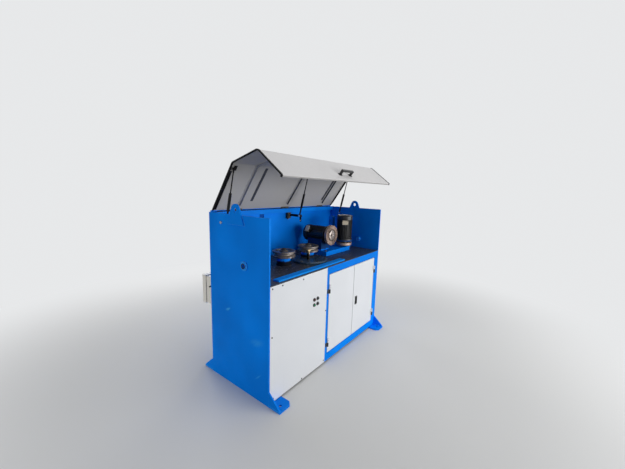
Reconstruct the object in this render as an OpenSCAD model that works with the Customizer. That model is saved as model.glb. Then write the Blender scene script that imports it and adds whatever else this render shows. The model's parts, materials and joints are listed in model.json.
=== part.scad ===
// Head unit of a wire drawing line: a plate-and-sheet cabinet with descaling wheels and
// two motor-driven brushes on its deck, under a folded cover that lifts on gas struts.
// Millimetres. Built from the left front corner at floor level: x along the wire, y to the
// back, z up. The last lines move it so that the origin is at the floor under its middle.

/* [Cabinet] */
// Distance of the first wheel from the left end
wheel_1_x = 500; // [480:1:520]
// Distance between the two wheels
wheel_pitch = 335; // [325:1:350]
// Distance of the motor platform from the second wheel's axis
platform_gap = 180; // [170:1:200]
// Length of the motor platform
platform_l = 465; // [455:1:500]
// Distance of the right end from the motor platform
right_bay = 220; // [180:5:400]
// Depth from the front face to the back wall's outer face
machine_d = 670; // [650:5:760]
// Height of the deck's top face
deck_z = 892; // [850:1:950]
// Height of the end plates above the deck
guard_h = 458; // [450:1:520]
// Thickness of the end plates
end_t = 12; // [8:1:16]
// Thickness of the deck
deck_t = 5; // [4:1:14]
// Thickness of the back wall
wall_t = 6; // [4:1:8]
// Thickness of the panel, door and cabinet floor sheet
sheet_t = 3; // [2:0.5:4]
// Gap between the floor and the rails
floor_gap = 15; // [10:1:25]
// Depth of the front posts and rails
post_d = 40; // [34:1:50]
// Left side of the middle post
post_x = 690; // [670:5:710]
// Width of the middle post
post_w = 32; // [24:1:40]
// Width of the right post beside the end plate
right_post_w = 79; // [60:1:100]
// Height of the front top rail under the deck
top_rail_h = 63; // [46:1:76]
// Height of the front bottom rail
bottom_rail_h = 69; // [50:1:80]
// Side of the square tube under the cover hinges
rear_rail_s = 40; // [32:1:46]
// Wall of that tube
rear_rail_t = 3; // [2:0.5:5]
// Width of the flat bar that lies on the deck
bar_w = 58; // [40:1:62]
// Thickness of the flat bar
bar_t = 12; // [6:1:14]
// Left end of the flat bar
bar_x = 118; // [100:1:200]
// Length of the flat bar
bar_l = 890; // [700:5:1100]
// Distance of the flat bar from the front face
bar_y = 22; // [15:1:30]

/* [Feet and lugs] */
// Length of a foot plate along the machine
foot_w = 130; // [110:5:150]
// How far a foot plate reaches out
foot_out = 112; // [105:1:125]
// Thickness of a foot plate
foot_t = 12; // [8:1:16]
// Cut corner of a foot plate
foot_cut = 28; // [10:1:36]
// Radius of the floor bolt holes
foot_hole_r = 11; // [8:0.5:13]
// Bolt hole from the end plate's outer face
foot_hole_x = 55; // [48:1:65]
// Bolt hole from the front or back face
foot_hole_y = 64; // [50:1:72]
// Reach of a gusset along the foot
gusset_out = 104; // [80:1:104]
// Height of a gusset above the floor
gusset_h = 112; // [90:1:130]
// Height of a gusset's toe above the foot
gusset_toe = 10; // [5:1:20]
// Height of the lug hole above the end plate
lug_rise = 35; // [32:1:45]
// Radius of a lug's round top
lug_r = 45; // [40:1:50]
// Radius of the lug hole
lug_hole_r = 17; // [12:1:20]
// Length of a lug's foot
lug_base = 182; // [150:2:220]
// How far a lug laps down over the end plate
lug_lap = 69; // [50:1:90]
// Thickness of a lug
lug_t = 12; // [8:1:16]

/* [Wire line] */
// Distance of the wire line from the front face
pass_y = 250; // [240:1:260]
// Height of the wire line above the deck
pass_rise = 100; // [96:1:106]
// Outer radius of a wire bushing's collar
bush_collar_r = 35; // [30:1:42]
// Radius of a wire bushing's neck
bush_neck_r = 24; // [21:1:28]
// Radius of a wire bushing's bore
bush_bore_r = 14; // [8:0.5:18]
// Thickness of the collar
bush_collar_t = 8; // [6:1:12]
// Length of the neck outside the end plate
bush_out = 14; // [13:1:44]
// Length of the neck inside the end plate
bush_in = 26; // [16:1:36]

/* [Descaling wheels] */
// Rim radius of a wheel
wheel_r = 100; // [96:1:106]
// Height of a wheel
wheel_h = 52; // [48:1:56]
// Depth of the wire groove
groove_d = 20; // [14:1:22]
// Half width of the groove at the rim
groove_half = 13; // [8:1:15]
// Half width of the groove at its bottom
groove_floor = 3; // [2:0.5:5]
// Radius of the wire that the groove takes
wire_r = 4; // [2:0.5:5]
// Radius of a wheel's hub
hub_r = 38; // [34:1:42]
// How far the hub stands above the rim
hub_rise = 4; // [3:1:14]
// Depth of the round dishing in a wheel's faces
dish_d = 8; // [4:1:10]
// Width of the rim beside the dishing
rim_w = 26; // [24:1:30]
// Radius of a wheel's spindle
spindle_r = 14; // [12:0.5:18]
// Radius of a pedestal's bearing housing
pedestal_r = 60; // [52:1:64]
// Chamfer round the top of the housing
pedestal_edge = 6; // [3:1:10]
// Radius of a pedestal's foot
pedestal_foot_r = 65; // [62:1:66]
// Thickness of a pedestal's foot
pedestal_foot_t = 14; // [10:1:16]
// Radius of the spindle's washer
washer_r = 26; // [22:1:30]
// Thickness of the spindle's washer
washer_t = 4; // [3:1:6]
// Width of the spindle nut over its flats
nut_af = 36; // [32:1:40]
// Height of the spindle nut
nut_h = 9; // [8:1:18]
// How far the spindle's end stands above its nut
spindle_end = 2; // [2:1:8]
// Radius of the round base disc in front of the second wheel
disc_r = 165; // [155:1:170]
// Distance of the base disc's middle from the second wheel's axis, to the left
disc_off = 65; // [55:1:75]
// Distance of the base disc's middle from the front face
disc_y = 262; // [255:1:270]
// Thickness of the base disc
disc_t = 20; // [12:1:24]
// Chamfer round the base disc
disc_edge = 4; // [2:1:6]
// Distance of the wire guide from the second wheel's axis, to the left
guide_off = 99; // [98:1:120]
// Radius of the wire guide's brass bush
guide_r = 13; // [12:1:14]
// Radius of the brass bush's bore
guide_bore_r = 6; // [5:0.5:8]
// Length of the wire guide's brass bush
guide_l = 36; // [30:1:40]
// Thickness of the wire guide's post
guide_t = 14; // [12:1:16]

/* [Brush drives] */
// Distance of the motor platform in front of the wire line
platform_out = 10; // [5:1:20]
// Depth of the motor platform
platform_d = 345; // [335:1:360]
// Height of the motor platform
platform_h = 46; // [40:1:48]
// Thickness of the platform's top plate
platform_top_t = 10; // [6:1:12]
// How far the top plate overhangs its box
platform_lip = 6; // [3:1:10]
// Distance of the horizontal motor's axis from the platform's left side
motor_h_in = 82; // [80:1:90]
// Distance of the vertical motor's axis from the platform's left side
motor_v_in = 385; // [376:1:392]
// Distance of the vertical motor's axis behind the wire line
motor_v_back = 28; // [24:1:34]
// Radius of a motor's body under its fins
motor_r = 72; // [68:1:76]
// Height of the cooling fins
fin_h = 10; // [6:1:12]
// Thickness of a cooling fin
fin_t = 4; // [3:0.5:5]
// Number of cooling fins
fin_n = 28; // [16:2:30]
// Length of a motor's finned body
motor_l = 206; // [200:1:214]
// Thickness of a motor's flange
flange_t = 14; // [10:1:18]
// How far a motor's flange stands out past its fins
flange_out = 6; // [4:1:10]
// Length of a motor's fan cowl
cowl_l = 48; // [40:1:56]
// Gap between a motor's fins and the inside of its cowl's outline
cowl_out = 2; // [1:0.5:3]
// Rounded edge of the cowl
cowl_edge = 16; // [10:1:20]
// Depth of the cowl's air slots
slot_d = 3; // [2:0.5:5]
// Width of an air slot
slot_w = 5; // [3:0.5:6]
// Number of air slots
slot_n = 16; // [12:2:20]
// Radius of a brush drive's shaft
shaft_r = 14; // [10:0.5:15]
// Clearance round a shaft where it passes the motor bracket
shaft_room = 8; // [5:1:12]
// Radius of the horizontal brush
brush_h_r = 100; // [94:1:106]
// Radius of the vertical brush
brush_v_r = 84; // [80:1:88]
// Thickness of the horizontal brush
brush_h_t = 26; // [22:1:34]
// Thickness of the vertical brush
brush_v_t = 26; // [22:1:28]
// Radius of a brush's side plates
brush_plate_r = 58; // [52:1:62]
// How far a brush's wires stand past its side plates
brush_dish = 5; // [3:0.5:7]
// Radius of a brush's clamping washer
brush_hub_r = 30; // [26:1:34]
// Thickness of the clamping washer
brush_hub_t = 8; // [5:1:10]
// Gap between a brush and the wire line
brush_gap = 5; // [4.5:0.5:7]
// Distance from the horizontal brush to its motor's flange
brush_run = 22; // [16:1:26]
// Height of the vertical motor's flange face above the wire line
motor_v_rise = 24; // [22:1:30]
// Width of a motor's terminal box
terminal_w = 62; // [54:1:68]
// Height of a terminal box
terminal_h = 44; // [38:1:48]
// Depth of a terminal box
terminal_d = 22; // [18:1:26]
// Thickness of a terminal box lid
terminal_lid_t = 6; // [4:1:8]
// How far a terminal box's seat stands past the fins
terminal_seat = 2; // [1:0.5:4]
// Distance of the terminal boxes from the motors' flange faces
terminal_low = 172; // [150:1:176]
// Turn of the horizontal motor's terminal box
terminal_turn_h = -60; // [-75:1:0]
// Turn of the vertical motor's terminal box
terminal_turn_v = -55; // [-60:1:0]
// Width of the horizontal motor's cradle
cradle_w = 140; // [120:2:150]
// Distance of the cradle from both ends of the motor's finned body
cradle_in = 14; // [10:1:30]
// Width of the vertical motor's column
column_w = 60; // [48:1:70]
// Depth of the vertical motor's column
column_d = 50; // [40:1:60]
// Gap between the vertical motor and its column
column_gap = 50; // [40:1:60]
// Height of the column above the vertical motor's flange face
column_rise = 242; // [220:1:260]
// Thickness of the plate that the vertical motor stands on
bracket_t = 12; // [10:1:14]

/* [Cover] */
// Angle of the cover's rear panel above level when open
cover_open = 54.4; // [50:0.1:58]
// Length of the rear panel from the hinge to the first bend
seg_a = 444; // [438:1:450]
// Length of the middle panel
seg_b = 276; // [270:1:282]
// Length of the front panel
seg_c = 281; // [270:1:286]
// Turn at the first bend
bend_1 = 38.1; // [36:0.1:40]
// Turn at the second bend
bend_2 = 53.5; // [51:0.1:55]
// Outer radius of the two bends
bend_r = 30; // [27:1:36]
// Outer radius of the lip's bend
lip_r = 8; // [7:0.5:9]
// Width of the folded lip
lip_w = 16; // [12:1:20]
// Thickness of the cover sheet
cover_t = 3; // [2:0.5:4]
// Distance of the cover's rear edge from the hinge axis
cover_start = 4; // [3:0.5:6]
// Gap between the cover and each end plate
cover_gap = 6; // [5:0.5:8]
// Width of the rubber edge trim
trim_w = 12; // [8:1:16]
// Thickness of the rubber edge trim
trim_t = 3; // [2:0.5:3]
// Radius of the rubber bulb under the rear panel's trim
bulb_r = 5; // [3:0.5:5.5]
// Distance of the bulb from both ends of the rear panel
bulb_in = 44; // [42:1:60]
// Width of a stiffening rib
rib_w = 30; // [24:1:36]
// Height of a stiffening rib
rib_h = 18; // [12:1:22]
// Thickness of a rib's two legs
rib_t = 3; // [2:0.5:4]
// Distance of the outer ribs and hinges from the ends of the machine
rib_in = 258; // [240:2:280]
// Distance of the ribs from the hinge and from the second bend
rib_start = 50; // [44:1:60]
// Distance of the left flat strap from the left end of the machine
strap_left = 370; // [340:5:400]
// Distance of the right flat strap from the right end of the machine
strap_right = 292; // [290:2:400]
// Width of a flat strap
strap_w = 24; // [16:1:30]
// Thickness of a flat strap
strap_t = 4; // [3:0.5:6]
// Start of the straps from the hinge
strap_s = 93; // [80:1:110]
// Distance of the straps from the first bend
strap_end = 20; // [18:1:40]
// Distance of the handle from the machine's middle, to the right
handle_off = 12; // [0:1:20]
// Distance between the handle's feet
handle_w = 160; // [140:1:180]
// How far the handle stands off
handle_out = 48; // [40:1:60]
// Width of the handle's bar
handle_bar = 20; // [16:1:24]
// Thickness of the handle's bar and legs
handle_t = 15; // [12:1:18]
// Length of a handle's foot pad
handle_pad = 36; // [30:1:40]
// Thickness of a handle's foot pad
handle_pad_t = 5; // [3:1:7]
// Place of the handle down the front panel
handle_s = 206; // [180:1:220]
// Height of the hinge axis above the wall's top
hinge_rise = 10; // [10:0.5:12]
// Height of the wall's lip behind the hinges
wall_lip = 12; // [8:1:12]
// Distance of the hinge axis from the wall's outer face
hinge_in = 10; // [9:0.5:14]
// Radius of a cover hinge's knuckle
knuckle_r = 9; // [8:0.5:10]
// Radius of a cover hinge's pin
hinge_pin_r = 4; // [3:0.5:5]
// Length of a knuckle
knuckle_l = 34; // [26:1:40]
// Reach of a cover hinge's leaf up the cover
leaf_reach = 44; // [38:1:46]
// Thickness of a cover hinge's leaf
leaf_t = 4; // [3:0.5:5]
// Room round the hinges in the cover and in the wall's lip
hinge_room = 3; // [2:0.5:5]

/* [Gas struts] */
// Distance of the lower pivots from the back wall's outer face
strut_back = 158; // [152:1:162]
// Distance of the lower pivots under the end plates' top
strut_fall = 69; // [65:1:72]
// Place of the upper pivots along the rear panel
strut_s = 400; // [396:1:404]
// Distance of the upper pivots under the rear panel
strut_drop = 16; // [15:1:17]
// Radius of a strut's cylinder
tube_r = 11; // [9.5:0.5:13]
// Radius of a strut's rod
rod_r = 5; // [4:0.5:5.5]
// Distance from the lower pivot to the cylinder's mouth
tube_l = 225; // [220:1:228]
// Distance from the lower pivot to the cylinder's foot
tube_foot = 82; // [70:1:86]
// Chamfer of a cylinder's foot
tube_edge = 2; // [1:0.5:3]
// Radius of the shank under a cylinder and over a rod
shank_r = 7; // [6.5:0.5:8]
// Distance from the lower pivot to the bottom of a cylinder's bore
bore_low = 38; // [34:1:42]
// How much of the rod stays in the cylinder
rod_in = 35; // [30:1:38]
// Length of the shank at a rod's upper end
rod_shank = 24; // [18:1:30]
// Radius of a strut's lower eye
eye_r = 11; // [10:0.5:12]
// Thickness of a strut's lower eye
eye_t = 14; // [12:1:16]
// Radius of a strut's upper eye
top_eye_r = 9; // [8:0.5:10]
// Thickness of a strut's upper eye
top_eye_t = 14; // [14:1:16]
// Radius of a strut's lower pin
pin_r = 5; // [4:0.5:6]
// Radius of the clip that holds an eye on its pin
clip_r = 11; // [9:0.5:12]
// Thickness of that clip
clip_t = 5; // [3:1:6]
// Width of the pins' bolt heads over their flats
bolt_af = 19; // [17:1:24]
// Height of those bolt heads
bolt_h = 8; // [6:1:10]
// Distance of the end struts from the end plates' inner faces
strut_in = 33; // [32:1:36]
// Distance of the middle strut from the machine's middle, to the right
strut_mid = 62; // [50:1:90]
// Thickness of the bracket arm that carries the middle strut
arm_t = 12; // [8:1:14]
// Height of the bracket arm
arm_h = 24; // [22:1:30]
// Gap between the middle strut's line and its bracket arm
arm_gap = 12; // [10:1:14]
// Width of the bracket arm's wall plate
arm_foot_w = 36; // [30:1:44]
// Height of the bracket arm's wall plate
arm_foot_h = 60; // [50:1:66]
// Thickness of the bracket arm's wall plate
arm_foot_t = 8; // [6:1:10]
// How far the wall plate's middle lies under the arm's
arm_foot_drop = 2; // [1:1:6]
// Width of an upper bracket's foot
ear_w = 26; // [20:1:30]
// Length of an upper bracket
ear_l = 40; // [32:1:44]
// Thickness of an upper bracket
ear_t = 4; // [3:0.5:5]

/* [Doors and panel] */
// Gap round the doors
door_gap = 5; // [4:0.5:6]
// Depth of a door's folded edges
door_d = 22; // [16:1:28]
// Gap between the two doors
door_split_gap = 6; // [5:0.5:8]
// Height of the lower door hinges above the doors' foot
door_hinge_low = 101; // [80:1:130]
// Distance of the upper door hinges under the doors' head
door_hinge_high = 129; // [110:1:150]
// Length of a door hinge's knuckle
door_knuckle_l = 38; // [30:1:44]
// Radius of a door hinge's knuckle
door_knuckle_r = 7; // [5.5:0.5:7]
// Radius of a door hinge's pin
door_pin_r = 3; // [2.5:0.5:3.5]
// Width of a door hinge's leaf
door_leaf_w = 28; // [22:1:30]
// Thickness of a door hinge's leaf
door_leaf_t = 4; // [3:0.5:5]
// Distance of the door latch from the doors' meeting line
latch_in = 40; // [30:1:60]
// Foot of the door latch
latch_z = 400; // [380:1:420]
// Width of the door latch
latch_w = 38; // [30:1:44]
// Height of the door latch
latch_h = 84; // [70:1:96]
// How far the latch's rim stands out of the door
latch_out = 4; // [2:0.5:5]
// Depth of the latch's body behind the door's face
latch_body = 14; // [8:1:18]
// Width of the latch's rim
latch_rim = 3; // [2:0.5:4]
// Depth of the latch's hand recess
latch_recess = 9; // [6:1:12]
// Middle of the push buttons along the machine
button_x = 534; // [520:1:548]
// Middle of the push buttons above the floor
button_z = 632; // [620:1:644]
// Pitch of the push buttons
button_pitch = 46; // [42:1:50]
// Radius of a push button's collar
collar_r = 15; // [13:0.5:17]
// Radius of a push button's neck
neck_r = 11; // [10.5:0.5:12]
// Radius of a push button's cap
cap_r = 9; // [8:0.5:9.5]
// Travel of a push button
button_travel = 4; // [3:0.5:5]
// How far a collar stands out of the panel
collar_t = 5; // [4:0.5:6]
// Length of a push button's neck behind the panel
neck_l = 25; // [18:1:30]
// How far a cap still stands out of its collar when pressed
cap_out = 3; // [2:0.5:4]
// Length of a push button's cap
cap_l = 24; // [20:1:28]

/* [Rear box and switch] */
// Left side of the rear junction box
box_x = 14; // [14:1:40]
// Foot of the junction box
box_z = 575; // [560:1:590]
// Width of the junction box
box_w = 300; // [260:5:340]
// Height of the junction box
box_h = 240; // [220:1:260]
// How far the junction box reaches out with its lid
box_out = 140; // [130:1:150]
// Depth of the junction box's lid
box_lid_d = 46; // [36:1:56]
// Width of the junction box's lid lip
box_lip = 5; // [3:1:8]
// Middle of the cable port in the back wall
port_x = 548; // [520:1:570]
// Width of the cable port
port_w = 44; // [36:1:50]
// Height of the cable port
port_h = 35; // [30:1:40]
// Distance of the cable port's top under the rear rail
port_fall = 2; // [2:1:10]
// Gap between the safety switch and the bracket arm's wall plate
switch_gap = 2; // [1:0.5:5]
// Distance of the safety switch's foot under the lower pivots
switch_fall = 33; // [25:1:40]
// Width of the safety switch
switch_w = 34; // [28:1:36]
// Height of the safety switch
switch_h = 56; // [44:1:60]
// Depth of the safety switch
switch_d = 30; // [24:1:36]
// Radius of the safety switch's plunger
plunger_r = 6; // [4:0.5:8]
// Length of the safety switch's plunger
plunger_l = 12; // [8:1:14]

/* [Hidden] */
$fn = 64;
slit = 0.3;
run_gap = 0.05;
over = 1;
bend_steps = 6;
lip_turn = 90;
mid_y = (machine_d + box_out - foot_out) / 2;
machine_h = deck_z + guard_h;
pass_z = deck_z + pass_rise;
deck_low = deck_z - deck_t;
wall_y = machine_d - wall_t;
inner_x = end_t;
wheel_2_x = wheel_1_x + wheel_pitch;
platform_x = wheel_2_x + platform_gap;
machine_l = platform_x + platform_l + right_bay;
inner_l = machine_l - 2 * end_t;
mid_x = machine_l / 2;
rail_low = floor_gap + bottom_rail_h;
right_post_x = machine_l - end_t - right_post_w;
hinge_y = machine_d - hinge_in;
hinge_z = machine_h + hinge_rise;
rib_xs = [rib_in, mid_x, machine_l - rib_in];
strap_xs = [strap_left, machine_l - strap_right];
wheel_y = pass_y + wheel_r - groove_d + wire_r;
hub_low = pass_z - wheel_h / 2 - hub_rise - slit;
hub_high = pass_z + wheel_h / 2 + hub_rise + slit;
disc_x = wheel_2_x - disc_off;
guide_x = wheel_2_x - guide_off;
platform_y = pass_y - platform_out;
platform_z = deck_z + platform_h;
motor_h_x = platform_x + motor_h_in;
motor_h_y = pass_y + brush_h_t / 2 + brush_run;
motor_h_z = pass_z + brush_gap + brush_h_r;
motor_v_x = platform_x + motor_v_in;
motor_v_y = pass_y + motor_v_back;
motor_v_z = pass_z + motor_v_rise;
fin_r = motor_r + fin_h;
fin_reach = norm([fin_r, fin_t / 2]);
flange_r = fin_r + flange_out;
cowl_r = fin_r + cowl_out;
cowl_low = flange_t + motor_l;
slot_start = slot_n * slot_w / PI;
slot_l = cowl_r - cowl_edge - slot_w - slot_start;
terminal_seat_r = fin_r + terminal_seat;
column_y = motor_v_y + flange_r + column_gap;
column_top = motor_v_z + column_rise;
cover_x = inner_x + cover_gap + trim_t;
cover_l = machine_l - 2 * cover_x;
turn_2 = bend_1 + bend_2;
notch_l = 3 * knuckle_l + 2 * slit + 2 * hinge_room;
handle_x = mid_x + handle_off;
strut_y = machine_d - strut_back;
strut_z = machine_h - strut_fall;
strut_mid_x = mid_x + strut_mid;
strut_xs = [inner_x + strut_in, strut_mid_x, machine_l - inner_x - strut_in];
strut_top_y = hinge_y - strut_s * cos(cover_open) - strut_drop * sin(cover_open);
strut_top_z = hinge_z + strut_s * sin(cover_open) - strut_drop * cos(cover_open);
strut_l = norm([strut_top_y - strut_y, strut_top_z - strut_z]);
strut_lean = atan2(strut_y - strut_top_y, strut_top_z - strut_z);
arm_x = strut_mid_x + arm_gap;
arm_foot_x = arm_x + (arm_t - arm_foot_w) / 2;
switch_x = arm_foot_x - switch_gap - switch_w;
switch_z = strut_z - switch_fall;
door_low = rail_low + door_gap;
door_high = deck_low - top_rail_h - door_gap;
door_left_x = post_x + post_w + door_gap;
door_right_x = right_post_x - door_gap;
door_split_x = (door_left_x + door_right_x) / 2;
door_pin_y = -door_knuckle_r - over;
door_hinge_zs = [door_low + door_hinge_low, door_high - door_hinge_high];
latch_x = door_split_x + latch_in;
blue = [0.02, 0.42, 0.78];
white = [0.93, 0.93, 0.9];
grey = [0.8, 0.8, 0.76];
black = [0.07, 0.07, 0.08];
steel = [0.5, 0.47, 0.44];
brass = [0.75, 0.58, 0.3];

// Moves the machine so that the floor under its middle is the origin
module in_frame() translate([-mid_x, -mid_y, 0]) children();

// A flat shape drawn as (y, z) that is t thick along x from x
module across(x, t) translate([x, 0, 0]) rotate([90, 0, 90]) linear_extrude(t) children();

// A round bar along y from y
module round_y(x, y, z, r, l) translate([x, y, z]) rotate([-90, 0, 0]) cylinder(r = r, h = l);

// A round bar along x from x
module round_x(x, y, z, r, l) translate([x, y, z]) rotate([0, 90, 0]) cylinder(r = r, h = l);

// A hexagon bar, af wide over its flats
module hexagon(af, h) cylinder(r = af / sqrt(3), h = h, $fn = 6);

// Left and right copies of something drawn at the left end
module both_ends() {
    children();
    translate([machine_l, 0, 0]) mirror([1, 0, 0]) children();
}

module end_plate(x) color(blue) across(x, end_t) difference() {
    union() {
        square([machine_d, machine_h]);
        gusset();
        translate([machine_d, 0]) mirror([1, 0]) gusset();
    }
    translate([pass_y, pass_z]) circle(r = bush_neck_r);
    translate([strut_y, strut_z]) circle(r = pin_r + run_gap);
}

// Triangular foot of an end plate, in the plate's own plane
module gusset() polygon([
    [0, foot_t], [-gusset_out, foot_t], [-gusset_out, foot_t + gusset_toe], [0, gusset_h]
]);

module foot_plates() color(blue) both_ends() {
    foot_plate();
    translate([0, machine_d, 0]) mirror([0, 1, 0]) foot_plate();
}

module foot_plate() linear_extrude(foot_t) difference() {
    polygon([
        [0, 0], [0, -foot_out], [foot_w - foot_cut, -foot_out], [foot_w, foot_cut - foot_out], [foot_w, 0]
    ]);
    translate([foot_hole_x, -foot_hole_y]) circle(r = foot_hole_r);
}

// A lug's slanting sides are tangents to its round top
module lifting_lugs() color(blue) both_ends() across(-lug_t, lug_t)
    translate([machine_d / 2, machine_h + lug_rise]) difference() {
        union() {
            circle(r = lug_r);
            polygon([
                [-lug_base / 2, -lug_low], [lug_base / 2, -lug_low], lug_side,
                [-lug_side[0], lug_side[1]]
            ]);
        }
        circle(r = lug_hole_r);
    }
lug_low = lug_rise + lug_lap;
lug_turn = atan2(-lug_low, lug_base / 2) + acos(lug_r / norm([lug_base / 2, lug_low]));
lug_side = lug_r * [cos(lug_turn), sin(lug_turn)];

module back_wall() color(blue) translate([inner_x, wall_y, 0]) difference() {
    translate([0, 0, floor_gap]) cube([inner_l, wall_t, machine_h + wall_lip - floor_gap]);
    for (x = rib_xs) translate([x - inner_x - notch_l / 2, -over, machine_h])
        cube([notch_l, wall_t + 2 * over, wall_lip + over]);
    translate([port_x - inner_x - port_w / 2, -over, machine_h - rear_rail_s - port_fall - port_h])
        cube([port_w, wall_t + 2 * over, port_h]);
}

module rear_rail() color(blue) translate([inner_x, wall_y - rear_rail_s, machine_h - rear_rail_s])
    difference() {
        cube([inner_l, rear_rail_s, rear_rail_s]);
        translate([-over, rear_rail_t, rear_rail_t])
            cube([inner_l + 2 * over, rear_rail_s - 2 * rear_rail_t, rear_rail_s - 2 * rear_rail_t]);
    }

module deck() color(steel) translate([inner_x, 0, deck_low]) cube([inner_l, wall_y, deck_t]);

module deck_bar() color(blue) translate([bar_x, bar_y, deck_z]) cube([bar_l, bar_w, bar_t]);

module cabinet_floor() color(blue) translate([inner_x, post_d, rail_low - sheet_t])
    cube([inner_l, wall_y - post_d, sheet_t]);

// A sheet tray in the front face, w by h, its folded edges d deep
module tray(x, z, w, h, d) translate([x, 0, z]) difference() {
    cube([w, d, h]);
    translate([sheet_t, sheet_t, sheet_t]) cube([w - 2 * sheet_t, d, h - 2 * sheet_t]);
}

module front_panel() color(white) difference() {
    tray(inner_x, floor_gap, post_x - inner_x, deck_low - floor_gap, post_d / 2);
    at_buttons() round_y(0, -over, 0, neck_r, sheet_t + 2 * over);
}

// Places something at each push button
module at_buttons() for (i = [0:3]) at_button(i) children();
module at_button(i) translate([
    button_x + (i % 2 - 0.5) * button_pitch, 0, button_z + (0.5 - floor(i / 2)) * button_pitch
]) children();

// Posts and rails round the door opening
module front_frame() color(blue) {
    translate([post_x, 0, floor_gap]) cube([post_w, post_d, deck_low - floor_gap]);
    translate([right_post_x, 0, floor_gap]) cube([right_post_w, post_d, deck_low - floor_gap]);
    for (z = [[floor_gap, bottom_rail_h], [deck_low - top_rail_h, top_rail_h]])
        translate([post_x, 0, z[0]]) cube([right_post_x - post_x + over, post_d, z[1]]);
}

module wire_bushings() color(steel) both_ends() difference() {
    union() {
        round_x(-bush_collar_t, pass_y, pass_z, bush_collar_r, bush_collar_t);
        round_x(-bush_out, pass_y, pass_z, bush_neck_r, bush_out + end_t + bush_in);
    }
    round_x(-bush_out - over, pass_y, pass_z, bush_bore_r, bush_out + end_t + bush_in + 2 * over);
}

module wheel_pedestals() color(blue) {
    wheel_pedestal(wheel_1_x, deck_z);
    wheel_pedestal(wheel_2_x, deck_z + disc_t);
}

// A bearing housing on its round foot, with the spindle, washer and nut that hold the wheel
module wheel_pedestal(x, z) translate([x, wheel_y, 0]) {
    translate([0, 0, z]) cylinder(r = pedestal_foot_r, h = pedestal_foot_t);
    translate([0, 0, z]) cylinder(r = pedestal_r, h = hub_low - pedestal_edge - z);
    translate([0, 0, hub_low - pedestal_edge])
        cylinder(r1 = pedestal_r, r2 = pedestal_r - pedestal_edge, h = pedestal_edge);
    translate([0, 0, hub_low - over]) cylinder(r = spindle_r, h = spindle_high - hub_low + over);
    translate([0, 0, hub_high]) cylinder(r = washer_r, h = washer_t);
    translate([0, 0, hub_high + washer_t]) hexagon(nut_af, nut_h);
}
spindle_high = hub_high + washer_t + nut_h + spindle_end;

module base_disc() color(steel) translate([disc_x, disc_y, deck_z]) {
    cylinder(r = disc_r, h = disc_t - disc_edge, $fn = 96);
    translate([0, 0, disc_t - disc_edge])
        cylinder(r1 = disc_r, r2 = disc_r - disc_edge, h = disc_edge, $fn = 96);
}

module wire_guide() color(brass) difference() {
    union() {
        translate([guide_x - guide_t / 2, pass_y - guide_r, deck_z + disc_t])
            cube([guide_t, 2 * guide_r, pass_rise - disc_t]);
        round_x(guide_x - guide_l / 2, pass_y, pass_z, guide_r, guide_l);
    }
    round_x(guide_x - guide_l, pass_y, pass_z, guide_bore_r, 2 * guide_l);
}

module wheel(x) color(steel) translate([x, wheel_y, pass_z]) rotate_extrude($fn = 96) polygon([
    [spindle_r + run_gap, -wheel_h / 2 - hub_rise],
    [hub_r, -wheel_h / 2 - hub_rise],
    [hub_r, dish_d - wheel_h / 2],
    [wheel_r - rim_w, dish_d - wheel_h / 2],
    [wheel_r - rim_w, -wheel_h / 2],
    [wheel_r, -wheel_h / 2],
    [wheel_r, -groove_half],
    [wheel_r - groove_d, -groove_floor],
    [wheel_r - groove_d, groove_floor],
    [wheel_r, groove_half],
    [wheel_r, wheel_h / 2],
    [wheel_r - rim_w, wheel_h / 2],
    [wheel_r - rim_w, wheel_h / 2 - dish_d],
    [hub_r, wheel_h / 2 - dish_d],
    [hub_r, wheel_h / 2 + hub_rise],
    [spindle_r + run_gap, wheel_h / 2 + hub_rise]
]);

// Platform on the deck with the cradle of the horizontal motor
module motor_platform() color(blue) {
    translate([platform_x + platform_lip, platform_y + platform_lip, deck_z])
        cube([platform_l - 2 * platform_lip, platform_d - 2 * platform_lip, platform_h]);
    translate([platform_x, platform_y, platform_z - platform_top_t])
        cube([platform_l, platform_d, platform_top_t]);
    difference() {
        translate([motor_h_x - cradle_w / 2, motor_h_y + flange_t + cradle_in, platform_z - over])
            cube([cradle_w, motor_l - 2 * cradle_in, motor_h_z - platform_z + over]);
        round_y(motor_h_x, motor_h_y, motor_h_z, fin_reach + slit, flange_t + motor_l);
    }
}

// A finned motor along +z, its flange face at z = 0 and its terminal seat turned by turn
module motor(turn) difference() {
    union() {
        cylinder(r = flange_r, h = flange_t);
        translate([0, 0, flange_t]) linear_extrude(motor_l) {
            circle(r = motor_r);
            for (i = [0:fin_n - 1]) rotate(i * 360 / fin_n)
                translate([motor_r / 2, -fin_t / 2]) square([motor_r / 2 + fin_h, fin_t]);
        }
        rotate(turn) translate([-terminal_w / 2, -terminal_seat_r, terminal_low])
            cube([terminal_w, terminal_seat_r - motor_r / 2, terminal_h]);
        translate([0, 0, cowl_low]) rotate_extrude() polygon(concat(
            [[0, 0], [cowl_r, 0]],
            [for (i = [0:bend_steps]) let (a = 90 * i / bend_steps)
                [cowl_r - cowl_edge * (1 - cos(a)), cowl_l - cowl_edge * (1 - sin(a))]],
            [[0, cowl_l]]
        ));
    }
    translate([0, 0, -over]) cylinder(r = shaft_r + run_gap, h = flange_t + 2 * over);
    for (i = [0:slot_n - 1]) rotate(i * 360 / slot_n)
        translate([slot_start, -slot_w / 2, cowl_low + cowl_l - slot_d])
            cube([slot_l, slot_w, slot_d + over]);
}

module at_motor_h() translate([motor_h_x, motor_h_y, motor_h_z]) rotate([-90, 0, 0]) children();
module at_motor_v() translate([motor_v_x, motor_v_y, motor_v_z]) children();

module horizontal_motor() color(black) at_motor_h() motor(terminal_turn_h);

module vertical_motor() color(black) at_motor_v() motor(terminal_turn_v);

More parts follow.
